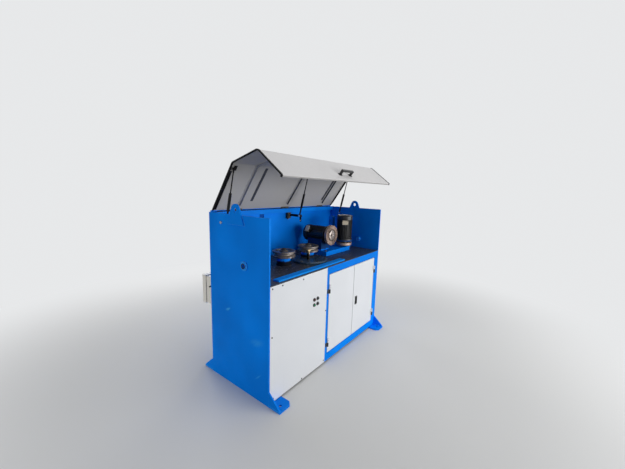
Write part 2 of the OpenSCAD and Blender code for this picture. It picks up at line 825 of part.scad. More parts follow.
// Column behind the vertical motor with the plate that its flange stands on
module motor_column() color(blue) difference() {
    union() {
        translate([motor_v_x - column_w / 2, column_y, platform_z])
            cube([column_w, column_d, column_top - platform_z]);
        translate([motor_v_x - column_w / 2, motor_v_y, motor_v_z - bracket_t])
            cube([column_w, column_y + over - motor_v_y, bracket_t]);
        translate([motor_v_x, motor_v_y, motor_v_z - bracket_t]) cylinder(r = flange_r, h = bracket_t);
    }
    translate([motor_v_x, motor_v_y, motor_v_z - bracket_t - over])
        cylinder(r = shaft_r + shaft_room, h = bracket_t + 2 * over);
}

// Places something on both motors' terminal seats, drawn from the seat towards -y
module at_terminals() {
    at_motor_h() rotate(terminal_turn_h)
        translate([-terminal_w / 2, -terminal_seat_r, terminal_low]) children();
    at_motor_v() rotate(terminal_turn_v)
        translate([-terminal_w / 2, -terminal_seat_r, terminal_low]) children();
}

module terminal_boxes() color(black) at_terminals() translate([0, -terminal_d, 0])
    cube([terminal_w, terminal_d, terminal_h]);

module terminal_lids() color(brass) at_terminals() translate([0, -terminal_d - terminal_lid_t, 0])
    cube([terminal_w, terminal_lid_t, terminal_h]);

// A brush of radius r and thickness t from z = 0, its shaft running into the motor above it
module brush(r, t, run) {
    rotate_extrude($fn = 96) polygon([
        [0, brush_dish - brush_hub_t],
        [brush_hub_r, brush_dish - brush_hub_t],
        [brush_hub_r, brush_dish],
        [brush_plate_r, brush_dish],
        [brush_plate_r, 0],
        [r, 0],
        [r, t],
        [brush_plate_r, t],
        [brush_plate_r, t - brush_dish],
        [0, t - brush_dish]
    ]);
    cylinder(r = shaft_r, h = t + run + flange_t);
}

module horizontal_brush() color(brass) translate([motor_h_x, pass_y - brush_h_t / 2, motor_h_z])
    rotate([-90, 0, 0]) brush(brush_h_r, brush_h_t, brush_run);

// The vertical brush lies under the wire line, its shaft behind the wire
module vertical_brush() color(brass) translate([motor_v_x, motor_v_y, pass_z - brush_gap - brush_v_t])
    brush(brush_v_r, brush_v_t, brush_gap + motor_v_rise);

// Arm from the back wall that carries the middle strut
module strut_bracket() color(black) {
    translate([arm_x, strut_y - arm_h / 2, strut_z - arm_h / 2])
        cube([arm_t, wall_y - strut_y + arm_h / 2, arm_h]);
    translate([arm_foot_x, wall_y - arm_foot_t, strut_z - arm_foot_h / 2 - arm_foot_drop])
        cube([arm_foot_w, arm_foot_t, arm_foot_h]);
}

module safety_switch() color(brass) {
    translate([switch_x, wall_y - switch_d, switch_z]) cube([switch_w, switch_d, switch_h]);
    translate([switch_x + switch_w / 2, wall_y - switch_d / 2, switch_z - plunger_l])
        cylinder(r = plunger_r, h = plunger_l);
}

module junction_box() color(grey) translate([box_x + box_lip, machine_d, box_z + box_lip])
    cube([box_w - 2 * box_lip, box_out - box_lid_d, box_h - 2 * box_lip]);

module junction_box_lid() color(grey) translate([box_x, machine_d + box_out - box_lid_d, box_z])
    cube([box_w, box_lid_d, box_h]);

// Turns from the cover's own level frame, hinge at the origin and panels towards -y, to its place
module at_cover() translate([0, hinge_y, hinge_z]) rotate([-cover_open, 0, 0]) children();

// Lines t below the cover's outer face as (y, z) points in its level frame, with rounded bends
function down(a) = [-cos(a), -sin(a)];
function inward(a) = [sin(a), -cos(a)];
fold_1 = [-seg_a, 0];
fold_2 = fold_1 + seg_b * down(bend_1);
fold_3 = fold_2 + seg_c * down(turn_2);
function bend(v, a0, a1, r, t) = let (c = v - r * tan((a1 - a0) / 2) * down(a0) + r * inward(a0)) [
    for (i = [0:bend_steps]) c - (r - t) * inward(a0 + (a1 - a0) * i / bend_steps)
];
function cover_line(t) = concat(
    [[-cover_start, -t]],
    bend(fold_1, 0, bend_1, bend_r, t),
    bend(fold_2, bend_1, turn_2, bend_r, t),
    bend(fold_3, turn_2, turn_2 + lip_turn, lip_r, t),
    [fold_3 + lip_w * inward(turn_2) - t * down(turn_2)]
);
function rib_line(t) = concat(
    [[-rib_start, -t]],
    bend(fold_1, 0, bend_1, bend_r, t),
    [fold_1 + (seg_b - rib_start) * down(bend_1) + t * inward(bend_1)]
);
function reversed(p) = [for (i = [len(p) - 1:-1:0]) p[i]];

module cover_profile(low, high) polygon(concat(cover_line(high), reversed(cover_line(low))));
module rib_profile(h) polygon(concat(rib_line(cover_t), reversed(rib_line(cover_t + h))));

module cover_shell() color(grey) at_cover() difference() {
    across(cover_x, cover_l) cover_profile(cover_t, 0);
    for (x = rib_xs) translate([x - notch_l / 2, -knuckle_r - hinge_room, -cover_t - over])
        cube([notch_l, knuckle_r + hinge_room, cover_t + 2 * over]);
}

// Angle ribs that follow the two upper panels, and flat straps on the rear one
module cover_ribs() color(grey) at_cover() {
    for (x = rib_xs) {
        across(x - rib_w / 2, rib_w) rib_profile(rib_t);
        across(x - rib_t / 2, rib_t) rib_profile(rib_h);
    }
    for (x = strap_xs) translate([x - strap_w / 2, strap_end - seg_a, -cover_t - strap_t])
        cube([strap_w, seg_a - strap_s - strap_end, strap_t]);
}

module cover_trim() color(black) at_cover() both_ends() difference() {
    union() {
        across(cover_x - trim_t, trim_w) cover_profile(cover_t + trim_t, -trim_t);
        translate([cover_x - trim_t + trim_w / 2, bulb_in - seg_a, -cover_t - trim_t]) rotate([-90, 0, 0])
            cylinder(r = bulb_r, h = seg_a - 2 * bulb_in);
    }
    across(cover_x, trim_w) cover_profile(cover_t, 0);
}

// A flat-sided bridge on two pads across the front panel
module cover_handle() color(black) at_cover() translate([0, fold_2[0], fold_2[1]]) rotate([turn_2, 0, 0])
    translate([handle_x, -handle_s - handle_bar / 2, 0]) {
        for (s = [-1, 1]) translate([s * handle_w / 2, 0, 0]) {
            translate([-handle_t / 2, 0, 0]) cube([handle_t, handle_bar, handle_out]);
            translate([-handle_pad / 2, -handle_pad_t, 0])
                cube([handle_pad, handle_bar + 2 * handle_pad_t, handle_pad_t]);
        }
        translate([-(handle_w + handle_t) / 2, 0, handle_out - handle_t])
            cube([handle_w + handle_t, handle_bar, handle_t]);
    }

module cover_hinge() color(steel) for (x = rib_xs) {
    for (s = [-1, 1]) translate([x + s * (knuckle_l + slit) - knuckle_l / 2, 0, 0]) {
        round_x(0, hinge_y, hinge_z, knuckle_r, knuckle_l);
        translate([0, hinge_y - knuckle_r, machine_h]) cube([knuckle_l, 2 * knuckle_r, hinge_rise]);
    }
    round_x(x - knuckle_l, hinge_y, hinge_z, hinge_pin_r, 2 * knuckle_l);
}

module cover_hinge_leaf() color(steel) at_cover() for (x = rib_xs) difference() {
    union() {
        round_x(x - knuckle_l / 2, 0, 0, knuckle_r, knuckle_l);
        translate([x - knuckle_l / 2, -leaf_reach, 0]) cube([knuckle_l, leaf_reach, leaf_t]);
    }
    round_x(x - knuckle_l, 0, 0, hinge_pin_r + run_gap, 2 * knuckle_l);
}

// Draws something along +z from a strut's lower pivot
module at_strut(i) translate([strut_xs[i], strut_y, strut_z]) rotate([strut_lean, 0, 0]) children();

module strut_pins() color(steel) {
    both_ends() {
        round_x(0, strut_y, strut_z, pin_r, inner_x + strut_in + eye_t / 2 + clip_t);
        round_x(inner_x + strut_in + eye_t / 2 + slit, strut_y, strut_z, clip_r, clip_t);
        translate([-bolt_h, strut_y, strut_z]) rotate([0, 90, 0]) hexagon(bolt_af, bolt_h);
    }
    round_x(strut_mid_x - eye_t / 2 - clip_t, strut_y, strut_z, pin_r, eye_t / 2 + clip_t + arm_gap);
    round_x(strut_mid_x - eye_t / 2 - slit - clip_t, strut_y, strut_z, clip_r, clip_t);
}

module strut_tube(i) color(black) at_strut(i) difference() {
    union() {
        rotate([0, 90, 0]) cylinder(r = eye_r, h = eye_t, center = true);
        cylinder(r = shank_r, h = tube_foot + tube_edge);
        translate([0, 0, tube_foot]) cylinder(r1 = tube_r - tube_edge, r2 = tube_r, h = tube_edge);
        translate([0, 0, tube_foot + tube_edge]) cylinder(r = tube_r, h = tube_l - tube_foot - tube_edge);
    }
    rotate([0, 90, 0]) cylinder(r = pin_r + run_gap, h = 2 * eye_t, center = true);
    translate([0, 0, bore_low]) cylinder(r = rod_r + run_gap, h = tube_l);
}

module strut_rod(i) color(black) at_strut(i) {
    translate([0, 0, tube_l - rod_in]) cylinder(r = rod_r, h = strut_l - tube_l + rod_in);
    translate([0, 0, strut_l - rod_shank]) cylinder(r = shank_r, h = rod_shank);
    translate([0, 0, strut_l]) rotate([0, 90, 0]) cylinder(r = top_eye_r, h = top_eye_t, center = true);
}

module strut_ears() color(black) at_cover() {
    for (s = [0, 1]) translate([s * machine_l, 0, 0]) mirror([s, 0, 0]) strut_ear(inner_x + strut_in);
    translate([2 * strut_mid_x, 0, 0]) mirror([1, 0, 0]) strut_ear(strut_mid_x);
}

// A bracket on the cover beside a strut at x: a foot plate and the ear that its eye swings on
module strut_ear(x) translate([x + max(top_eye_t / 2, shank_r) + slit, -strut_s - ear_l / 2, -cover_t]) {
    translate([0, 0, -ear_t]) cube([ear_w, ear_l, ear_t]);
    translate([0, ear_l / 4, cover_t - strut_drop - ear_t])
        cube([ear_t, ear_l / 2, strut_drop + ear_t - cover_t]);
}

// A door tray between two places along the machine, closed at low and high
module door(x1, x2) color(white) tray(x1, door_low, x2 - x1, door_high - door_low, door_d);

module left_door() {
    door(door_left_x, door_split_x - door_split_gap / 2);
    color(steel) door_leaves(post_x + post_w + door_gap / 2, 1);
}

module right_door() {
    difference() {
        door(door_split_x + door_split_gap / 2, door_right_x);
        translate([latch_x + latch_rim, -over, latch_z + latch_rim])
            cube([latch_w - 2 * latch_rim, sheet_t + 2 * over, latch_h - 2 * latch_rim]);
    }
    color(steel) door_leaves(right_post_x - door_gap / 2, -1);
}

// Upper knuckles and leaves of a door's hinges, on the door
module door_leaves(x, side) for (z = door_hinge_zs) translate([x, door_pin_y, z + slit]) difference() {
    union() {
        cylinder(r = door_knuckle_r, h = door_knuckle_l);
        door_leaf(side);
    }
    translate([0, 0, -over]) cylinder(r = door_pin_r + run_gap, h = door_knuckle_l + 2 * over);
}
module door_leaf(side) translate([side > 0 ? 0 : -door_leaf_w, -door_pin_y - door_leaf_t, 0])
    cube([door_leaf_w, door_leaf_t, door_knuckle_l]);

// Lower knuckles with the pins, on the posts
module door_hinges() color(steel) for (z = door_hinge_zs) {
    translate([post_x + post_w + door_gap / 2, door_pin_y, z]) fixed_knuckle(-1);
    translate([right_post_x - door_gap / 2, door_pin_y, z]) fixed_knuckle(1);
}
module fixed_knuckle(side) {
    translate([0, 0, -door_knuckle_l]) {
        cylinder(r = door_knuckle_r, h = door_knuckle_l);
        door_leaf(side);
    }
    translate([0, 0, -over]) cylinder(r = door_pin_r, h = door_knuckle_l);
}

// A recessed handle: its rim stands on the door and its tub goes in
module door_latch() color(black) difference() {
    union() {
        translate([latch_x, -latch_out, latch_z]) cube([latch_w, latch_out, latch_h]);
        translate([latch_x + latch_rim, -latch_out, latch_z + latch_rim])
            cube([latch_w - 2 * latch_rim, latch_out + latch_body, latch_h - 2 * latch_rim]);
    }
    translate([latch_x + 2 * latch_rim, -latch_out - over, latch_z + 2 * latch_rim])
        cube([latch_w - 4 * latch_rim, latch_out + latch_recess + over, latch_h - 4 * latch_rim]);
}

module button_collars() color(black) at_buttons() difference() {
    union() {
        round_y(0, -collar_t, 0, collar_r, collar_t);
        round_y(0, -collar_t, 0, neck_r, collar_t + neck_l);
    }
    round_y(0, -collar_t - over, 0, cap_r + run_gap, collar_t + neck_l + 2 * over);
}

module button(i, c) color(c) at_button(i)
    round_y(0, -collar_t - button_travel - cap_out, 0, cap_r, cap_l);

in_frame() end_plate(0);  // left_end_plate
in_frame() end_plate(machine_l - end_t);  // right_end_plate
in_frame() foot_plates();
in_frame() lifting_lugs();
in_frame() back_wall();
in_frame() rear_rail();
in_frame() deck();
in_frame() deck_bar();
in_frame() cabinet_floor();
in_frame() front_panel();
in_frame() front_frame();
in_frame() wire_bushings();
in_frame() wheel_pedestals();
in_frame() base_disc();
in_frame() wire_guide();
in_frame() wheel(wheel_1_x);  // wheel_1
in_frame() wheel(wheel_2_x);  // wheel_2
in_frame() motor_platform();
in_frame() horizontal_motor();
in_frame() vertical_motor();
in_frame() motor_column();
in_frame() terminal_boxes();
in_frame() terminal_lids();
in_frame() horizontal_brush();
in_frame() vertical_brush();
in_frame() strut_bracket();
in_frame() safety_switch();
in_frame() junction_box();
in_frame() junction_box_lid();
in_frame() cover_hinge();
in_frame() cover_hinge_leaf();
in_frame() cover_shell();
in_frame() cover_ribs();
in_frame() cover_trim();
in_frame() cover_handle();
in_frame() strut_pins();
in_frame() strut_ears();
in_frame() strut_tube(0);  // strut_tube_left
in_frame() strut_tube(1);  // strut_tube_middle
in_frame() strut_tube(2);  // strut_tube_right
in_frame() strut_rod(0);  // strut_rod_left
in_frame() strut_rod(1);  // strut_rod_middle
in_frame() strut_rod(2);  // strut_rod_right
in_frame() left_door();
in_frame() right_door();
in_frame() door_hinges();
in_frame() door_latch();
in_frame() button_collars();
in_frame() button(2, [0.1, 0.5, 0.25]);  // button_green
in_frame() button(0, [0.5, 0.1, 0.1]);  // button_red
in_frame() button(1, black);  // button_black_1
in_frame() button(3, black);  // button_black_2
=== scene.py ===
import json
import math
import random
import bmesh
import bpy
from mathutils import Matrix, Vector


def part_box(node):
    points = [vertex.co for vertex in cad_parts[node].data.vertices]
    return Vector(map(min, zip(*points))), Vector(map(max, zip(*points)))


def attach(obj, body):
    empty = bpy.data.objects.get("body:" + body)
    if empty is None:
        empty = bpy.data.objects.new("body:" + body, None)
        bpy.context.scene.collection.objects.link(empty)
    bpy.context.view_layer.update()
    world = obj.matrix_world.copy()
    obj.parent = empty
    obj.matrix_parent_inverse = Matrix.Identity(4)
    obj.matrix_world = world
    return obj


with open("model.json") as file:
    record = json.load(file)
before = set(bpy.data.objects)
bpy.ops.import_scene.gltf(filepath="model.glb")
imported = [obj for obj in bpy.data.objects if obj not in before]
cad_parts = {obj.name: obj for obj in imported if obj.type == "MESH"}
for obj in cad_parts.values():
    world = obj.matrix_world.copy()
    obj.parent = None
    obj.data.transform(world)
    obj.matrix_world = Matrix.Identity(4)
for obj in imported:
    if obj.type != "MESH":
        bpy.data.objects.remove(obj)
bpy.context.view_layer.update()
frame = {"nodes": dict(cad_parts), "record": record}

# The machine in millimetres: x from its left end, y from its front and z from the floor
LENGTH, DEPTH, MIDDLE_Y, PLATE = 1700, 670, 349, 12
DECK_TOP, DISC_TOP, RAIL_TOP = 892, 912, 1350
WIRE_Y, WIRE_Z = 250, 992
WHEEL_1, WHEEL_2, HOUSING_R = (500, 334), (835, 334), 65
BASE_DISC, DISC_RIM, DISC_SCREW_R = (770, 262), (156, 172), 148
FLAT_MOTOR, TALL_MOTOR = (1097, 285, 1097), (1400, 278, 1016)
FLAT_BRUSH, TALL_BRUSH = (1097, 250, 1097), (1400, 278, 974)
PLATFORM_X, PLATFORM_Y, PLATFORM_TOP = (1015, 1480), (240, 585), 938
COLUMN_X, COLUMN_Y = (1370, 1430), (416, 466)
CRADLE_X, CRADLE_Y = (1027, 1167), (313, 491)
DOOR_PINS, DOOR_HINGES = (724.5, 1606.5), (190, 690)
PORT_X, PORT_Z = (527, 569), (1274, 1307)

# The cover: its hinge line, how far it stands open, its bends in degrees, its panels and its ribs
HINGE_Y, HINGE_Z = 660, 1360
OPEN_ANGLE, FIRST_BEND, SECOND_BEND = 54.4, 38.1, 53.5
REAR_PANEL, MIDDLE_PANEL = 444, 276
RIBS = (258, 850, 1442)

# The photo's camera: its place in metres, its pitch, yaw and roll in degrees, and its lens
CAMERA_PLACE, CAMERA_TURN = (-2.152, -1.689, 1.542), (8.78, 52.78, 1.63)
LENS, SENSOR = 16.64, 36

# Lamps: name, place, target, width, height and watts
LAMPS = (
    ("front window", (1.4, -5.0, 1.3), (0.0, 0.0, 0.95), 4.6, 2.4, 192),
    ("left window", (-4.5, 0.25, 0.62), (-0.9, 0.0, 0.75), 2.6, 1.0, 46),
    ("right window", (4.8, 2.2, 1.6), (0.6, 0.2, 0.8), 2.6, 2.0, 70),
    ("rear window", (0.9, 5.2, 1.9), (0.0, 0.0, 0.8), 3.0, 2.4, 115),
    ("roof light", (0.2, -1.0, 4.6), (0.0, 0.0, 0.9), 3.0, 3.0, 46),
)
BACKDROP, SKY, SKY_STRENGTH = (0.80, 0.81, 0.82), (0.93, 0.96, 1.0), 0.22

# The floor's colour to the eye and to bounced light, and where it fades into the backdrop
FLOOR, FLOOR_BOUNCE = (0.70, 0.70, 0.69), (0.22, 0.22, 0.22)
FLOOR_SIZE, FADE_START, FADE_END = 80, 1.7, 3.8


def spot(x, y, z):
    """A place in the machine's millimetres as metres in the frame."""
    return Vector(((x - LENGTH / 2) / 1000, (y - MIDDLE_Y) / 1000, z / 1000))


def on_cover(x, along, out=0.0, panel=0):
    """A place on the cover's outer face and its lean: panel 0 is the rear one, 1 the middle, 2 the front."""
    turn, y, z = 0.0, 0.0, 0.0
    for reach, bend in ((REAR_PANEL, FIRST_BEND), (MIDDLE_PANEL, SECOND_BEND))[:panel]:
        y -= reach * math.cos(math.radians(turn))
        z -= reach * math.sin(math.radians(turn))
        turn += bend
    a = math.radians(turn)
    y += -along * math.cos(a) - out * math.sin(a)
    z += -along * math.sin(a) + out * math.cos(a)
    tilt = math.radians(OPEN_ANGLE)
    place = spot(x, HINGE_Y + y * math.cos(tilt) + z * math.sin(tilt),
                 HINGE_Z - y * math.sin(tilt) + z * math.cos(tilt))
    return place, a - tilt


def out_of_cover(lean, side=1):
    """The way out of a panel with that lean, or into the cover where side is -1."""
    return (0, -side * math.sin(lean), side * math.cos(lean))


def stand(way):
    """The turn that stands z along a way."""
    return Vector(way).to_track_quat("Z", "Y").to_matrix().to_4x4()


# Node trees

# The sockets of a Mix node that blends colours, and the axes that zones run along
FIRST_COLOUR, SECOND_COLOUR, BLENDED = 6, 7, 2
X_AXIS, Z_AXIS = 0, 2


class Finish:
    """Keeps the building of one node tree short."""

    def __init__(self, tree):
        self.nodes, self.links = tree.nodes, tree.links

    def add(self, kind, **settings):
        node = self.nodes.new(kind)
        for key, value in settings.items():
            setattr(node, key, value)
        return node

    def join(self, source, target):
        self.links.new(source, target)

    def feed(self, socket, value):
        """Sets a socket to a number or colour, or links it to an output."""
        if isinstance(value, tuple):
            socket.default_value = (*value, 1)
        elif isinstance(value, (int, float)):
            socket.default_value = value
        else:
            self.join(value, socket)

    def number(self, operation, first, second=0.0, clamp=False):
        node = self.add("ShaderNodeMath", operation=operation, use_clamp=clamp)
        self.feed(node.inputs[0], first)
        self.feed(node.inputs[1], second)
        return node.outputs[0]

    def reach(self, vector):
        """How long a vector is."""
        node = self.add("ShaderNodeVectorMath", operation="LENGTH")
        self.join(vector, node.inputs[0])
        return node.outputs["Value"]

    def ramp(self, value, low, high, to_low=0.0, to_high=1.0):
        node = self.add("ShaderNodeMapRange", interpolation_type="SMOOTHSTEP")
        self.join(value, node.inputs["Value"])
        ends = {"From Min": low, "From Max": high, "To Min": to_low, "To Max": to_high}
        for label, amount in ends.items():
            node.inputs[label].default_value = amount
        return node.outputs["Result"]

    def blend(self, amount, first, second):
        node = self.add("ShaderNodeMix", data_type="RGBA")
        self.feed(node.inputs[0], amount)
        self.feed(node.inputs[FIRST_COLOUR], first)
        self.feed(node.inputs[SECOND_COLOUR], second)
        return node.outputs[BLENDED]

    def tint(self, base, mask, amount, colour):
        """Lays a colour over the base where the mask says so."""
        return self.blend(self.number("MULTIPLY", mask, amount), base, colour)

    def noise(self, place, scale, detail=3.0, rough=0.55):
        node = self.add("ShaderNodeTexNoise")
        node.inputs["Scale"].default_value = scale
        node.inputs["Detail"].default_value = detail
        node.inputs["Roughness"].default_value = rough
        self.join(place, node.inputs["Vector"])
        return node.outputs["Fac"]

    def parts(self, vector):
        node = self.add("ShaderNodeSeparateXYZ")
        self.join(vector, node.inputs[0])
        return node.outputs

    def zone(self, place, axis, low, high, wobble=0.0):
        """A mask that grows from 0 at low to 1 at high along x, y or z, its border broken up by wobble."""
        value = self.parts(place)[axis]
        if wobble:
            uneven = self.number("SUBTRACT", self.noise(place, 24.0, 4.0), 0.5)
            value = self.number("ADD", value, self.number("MULTIPLY", uneven, wobble))
        return self.ramp(value, low, high)

    def tint_zones(self, base, place, zones, wobble):
        """Lays colours over zones of the base given as (axis, low, high, colour, amount)."""
        for axis, low, high, colour, amount in zones:
            base = self.tint(base, self.zone(place, axis, low, high, wobble), amount, colour)
        return base


def start(name, metallic=0.0, roughness=0.5, specular=0.5):
    material = bpy.data.materials.new(name)
    material.use_nodes = True
    f = Finish(material.node_tree)
    shade = f.nodes["Principled BSDF"]
    shade.inputs["Metallic"].default_value = metallic
    shade.inputs["Roughness"].default_value = roughness
    shade.inputs["Specular IOR Level"].default_value = specular
    return material, f, shade, f.add("ShaderNodeTexCoord").outputs["Object"]


# Camera, light and floor

def set_camera():
    data = bpy.data.cameras.new("camera")
    data.lens, data.sensor_width = LENS, SENSOR
    camera = bpy.data.objects.new("camera", data)
    bpy.context.scene.collection.objects.link(camera)
    pitch, yaw, roll = (math.radians(turn) for turn in CAMERA_TURN)
    ahead = Vector((math.sin(yaw) * math.cos(pitch), math.cos(yaw) * math.cos(pitch), -math.sin(pitch)))
    level = Vector((math.cos(yaw), -math.sin(yaw), 0))
    above = level.cross(ahead)
    right = level * math.cos(roll) + above * math.sin(roll)
    up = -level * math.sin(roll) + above * math.cos(roll)
    columns = (right, up, -ahead, CAMERA_PLACE)
    camera.matrix_world = Matrix([[column[i] for column in columns] for i in range(3)] + [[0, 0, 0, 1]])
    bpy.context.scene.camera = camera


def set_lamps():
    for name, place, target, wide, high, watts in LAMPS:
        bpy.ops.object.light_add(type="AREA", location=place)
        lamp = bpy.context.object
        lamp.name = name
        lamp.data.shape = "RECTANGLE"
        lamp.data.size, lamp.data.size_y = wide, high
        lamp.data.energy = watts
        lamp.rotation_euler = (Vector(target) - Vector(place)).to_track_quat("-Z", "Y").to_euler()


def set_hall():
    """A bright backdrop for the camera and for mirrored light, and a weaker glow for all other light."""
    world = bpy.data.worlds.new("hall")
    world.use_nodes = True
    f = Finish(world.node_tree)
    f.nodes.clear()
    rays = f.add("ShaderNodeLightPath").outputs
    straight = f.number("MAXIMUM", rays["Is Camera Ray"], rays["Is Transmission Ray"])
    mix = f.add("ShaderNodeMixShader")
    f.join(f.number("MAXIMUM", straight, rays["Is Glossy Ray"]), mix.inputs[0])
    for socket, colour, strength in ((1, SKY, SKY_STRENGTH), (2, BACKDROP, 1.0)):
        glow = f.add("ShaderNodeBackground")
        f.feed(glow.inputs["Color"], colour)
        f.feed(glow.inputs["Strength"], strength)
        f.join(glow.outputs[0], mix.inputs[socket])
    f.join(mix.outputs[0], f.add("ShaderNodeOutputWorld").inputs[0])
    bpy.context.scene.world = world


def set_floor():
    """A pale floor that fades into the backdrop and throws little of the light back up."""
    bpy.ops.mesh.primitive_plane_add(size=FLOOR_SIZE, location=(0, 0, 0))
    floor = bpy.context.object
    floor.name = "floor"
    material, f, shade, place = start("pale floor", roughness=0.75)
    rays = f.add("ShaderNodeLightPath").outputs
    f.join(f.blend(rays["Is Diffuse Ray"], FLOOR, FLOOR_BOUNCE), shade.inputs["Base Color"])
    fade = f.ramp(f.reach(place), FADE_START, FADE_END)
    glow = f.add("ShaderNodeEmission")
    f.feed(glow.inputs["Color"], BACKDROP)
    mix = f.add("ShaderNodeMixShader")
    f.join(f.number("MULTIPLY", fade, rays["Is Camera Ray"]), mix.inputs[0])
    f.join(shade.outputs[0], mix.inputs[1])
    f.join(glow.outputs[0], mix.inputs[2])
    f.join(mix.outputs[0], f.nodes["Material Output"].inputs["Surface"])
    floor.data.materials.append(material)


# Shared effects

def new_group(name, inputs, outputs):
    tree = bpy.data.node_groups.new(name, "ShaderNodeTree")
    for label, kind, value in inputs:
        socket = tree.interface.new_socket(label, in_out="INPUT", socket_type=kind)
        if value is not None:
            socket.default_value = value
    for label, kind in outputs:
        tree.interface.new_socket(label, in_out="OUTPUT", socket_type=kind)
    return tree, Finish(tree), tree.nodes.new("NodeGroupInput"), tree.nodes.new("NodeGroupOutput")


def edge_wear_and_highlight_group():
    """Rounded edges for the shading, and a mask of the edges where paint wears thin and where edges are
    painted lighter as painted highlights.
    """
    tree, f, given, out = new_group(
        "edge wear and highlight",
        (("Place", "NodeSocketVector", None), ("Radius", "NodeSocketFloat", 0.002),
         ("Breakup", "NodeSocketFloat", 40.0)),
        (("Mask", "NodeSocketFloat"), ("Normal", "NodeSocketVector")))
    soft = f.add("ShaderNodeBevel", samples=4)
    f.join(given.outputs["Radius"], soft.inputs["Radius"])
    flat = f.add("ShaderNodeNewGeometry")
    meet = f.add("ShaderNodeVectorMath", operation="DOT_PRODUCT")
    f.join(soft.outputs["Normal"], meet.inputs[0])
    f.join(flat.outputs["Normal"], meet.inputs[1])
    edge = f.ramp(meet.outputs["Value"], 0.995, 0.90)
    noise = f.add("ShaderNodeTexNoise")
    noise.inputs["Detail"].default_value = 4
    f.join(given.outputs["Place"], noise.inputs["Vector"])
    f.join(given.outputs["Breakup"], noise.inputs["Scale"])
    patchy = f.ramp(noise.outputs["Fac"], 0.42, 0.62)
    f.join(f.number("MULTIPLY", edge, patchy), out.inputs["Mask"])
    f.join(soft.outputs["Normal"], out.inputs["Normal"])
    return tree


def grime_group():
    """Patches of dirt: more where Amount is higher, finer where Scale is."""
    tree, f, given, out = new_group(
        "grime",
        (("Place", "NodeSocketVector", None), ("Scale", "NodeSocketFloat", 6.0),
         ("Amount", "NodeSocketFloat", 0.4)),
        (("Mask", "NodeSocketFloat"), ("Fine", "NodeSocketFloat")))
    big = f.add("ShaderNodeTexNoise")
    big.inputs["Detail"].default_value = 6
    big.inputs["Roughness"].default_value = 0.62
    f.join(given.outputs["Place"], big.inputs["Vector"])
    f.join(given.outputs["Scale"], big.inputs["Scale"])
    fine = f.add("ShaderNodeTexNoise")
    fine.inputs["Detail"].default_value = 5
    f.join(given.outputs["Place"], fine.inputs["Vector"])
    f.join(f.number("MULTIPLY", given.outputs["Scale"], 14.0), fine.inputs["Scale"])
    speck = f.number("MULTIPLY", f.number("SUBTRACT", fine.outputs["Fac"], 0.5), 0.35)
    both = f.number("ADD", big.outputs["Fac"], speck)
    edge = f.number("SUBTRACT", 0.82, f.number("MULTIPLY", given.outputs["Amount"], 0.6))
    f.join(f.number("MULTIPLY", f.number("SUBTRACT", both, edge), 5.0, clamp=True), out.inputs["Mask"])
    f.join(fine.outputs["Fac"], out.inputs["Fine"])
    return tree


def scuff_group():
    """Thin scratches in two directions."""
    tree, f, given, out = new_group(
        "scuffs", (("Place", "NodeSocketVector", None), ("Scale", "NodeSocketFloat", 8.0)),
        (("Mask", "NodeSocketFloat"),))
    lines = []
    for turn, stretch in (((0.3, 0.5, 0.9), (1.0, 0.06, 0.06)), ((0.9, 0.2, -0.4), (0.05, 1.0, 0.05))):
        mapping = f.add("ShaderNodeMapping")
        mapping.inputs["Rotation"].default_value = turn
        mapping.inputs["Scale"].default_value = stretch
        f.join(given.outputs["Place"], mapping.inputs["Vector"])
        noise = f.add("ShaderNodeTexNoise")
        noise.inputs["Detail"].default_value = 2
        f.join(mapping.outputs[0], noise.inputs["Vector"])
        f.join(f.number("MULTIPLY", given.outputs["Scale"], 12.0), noise.inputs["Scale"])
        lines.append(f.ramp(noise.outputs["Fac"], 0.70, 0.76))
    f.join(f.number("MAXIMUM", lines[0], lines[1]), out.inputs["Mask"])
    return tree


GROUPS = {"edge wear and highlight": edge_wear_and_highlight_group(), "grime": grime_group(), "scuffs": scuff_group()}


def use(f, name, place, **values):
    """Places a shared effect in a finish, with values of its own."""
    node = f.add("ShaderNodeGroup", node_tree=GROUPS[name])
    f.join(place, node.inputs["Place"])
    for label, value in values.items():
        node.inputs[label].default_value = value
    return node.outputs


def raise_bump(f, shade, height, strength, distance, normal):
    bump = f.add("ShaderNodeBump")
    bump.inputs["Strength"].default_value = strength
    bump.inputs["Distance"].default_value = distance
    f.join(height, bump.inputs["Height"])
    f.join(normal, bump.inputs["Normal"])
    f.join(bump.outputs[0], shade.inputs["Normal"])


# Kinds of finish

def add_rubs(f, base, place, rubs):
    """Pale marks, partly rub marks and partly painted highlights, given as (place, lean, half size,
    strength).
    """
    for middle, lean, half_size, strength in rubs:
        drawn_out = f.add("ShaderNodeMapping", vector_type="TEXTURE")
        drawn_out.inputs["Location"].default_value = middle
        drawn_out.inputs["Rotation"].default_value = (lean, 0, 0)
        drawn_out.inputs["Scale"].default_value = half_size
        f.join(place, drawn_out.inputs["Vector"])
        near = f.ramp(f.reach(drawn_out.outputs[0]), 1.0, 0.15)
        ragged = f.ramp(f.noise(drawn_out.outputs[0], 1.4, 3.0), 0.28, 0.52)
        base = f.tint(base, f.number("MULTIPLY", near, ragged), strength, RUB_AND_HIGHLIGHT)
    return base


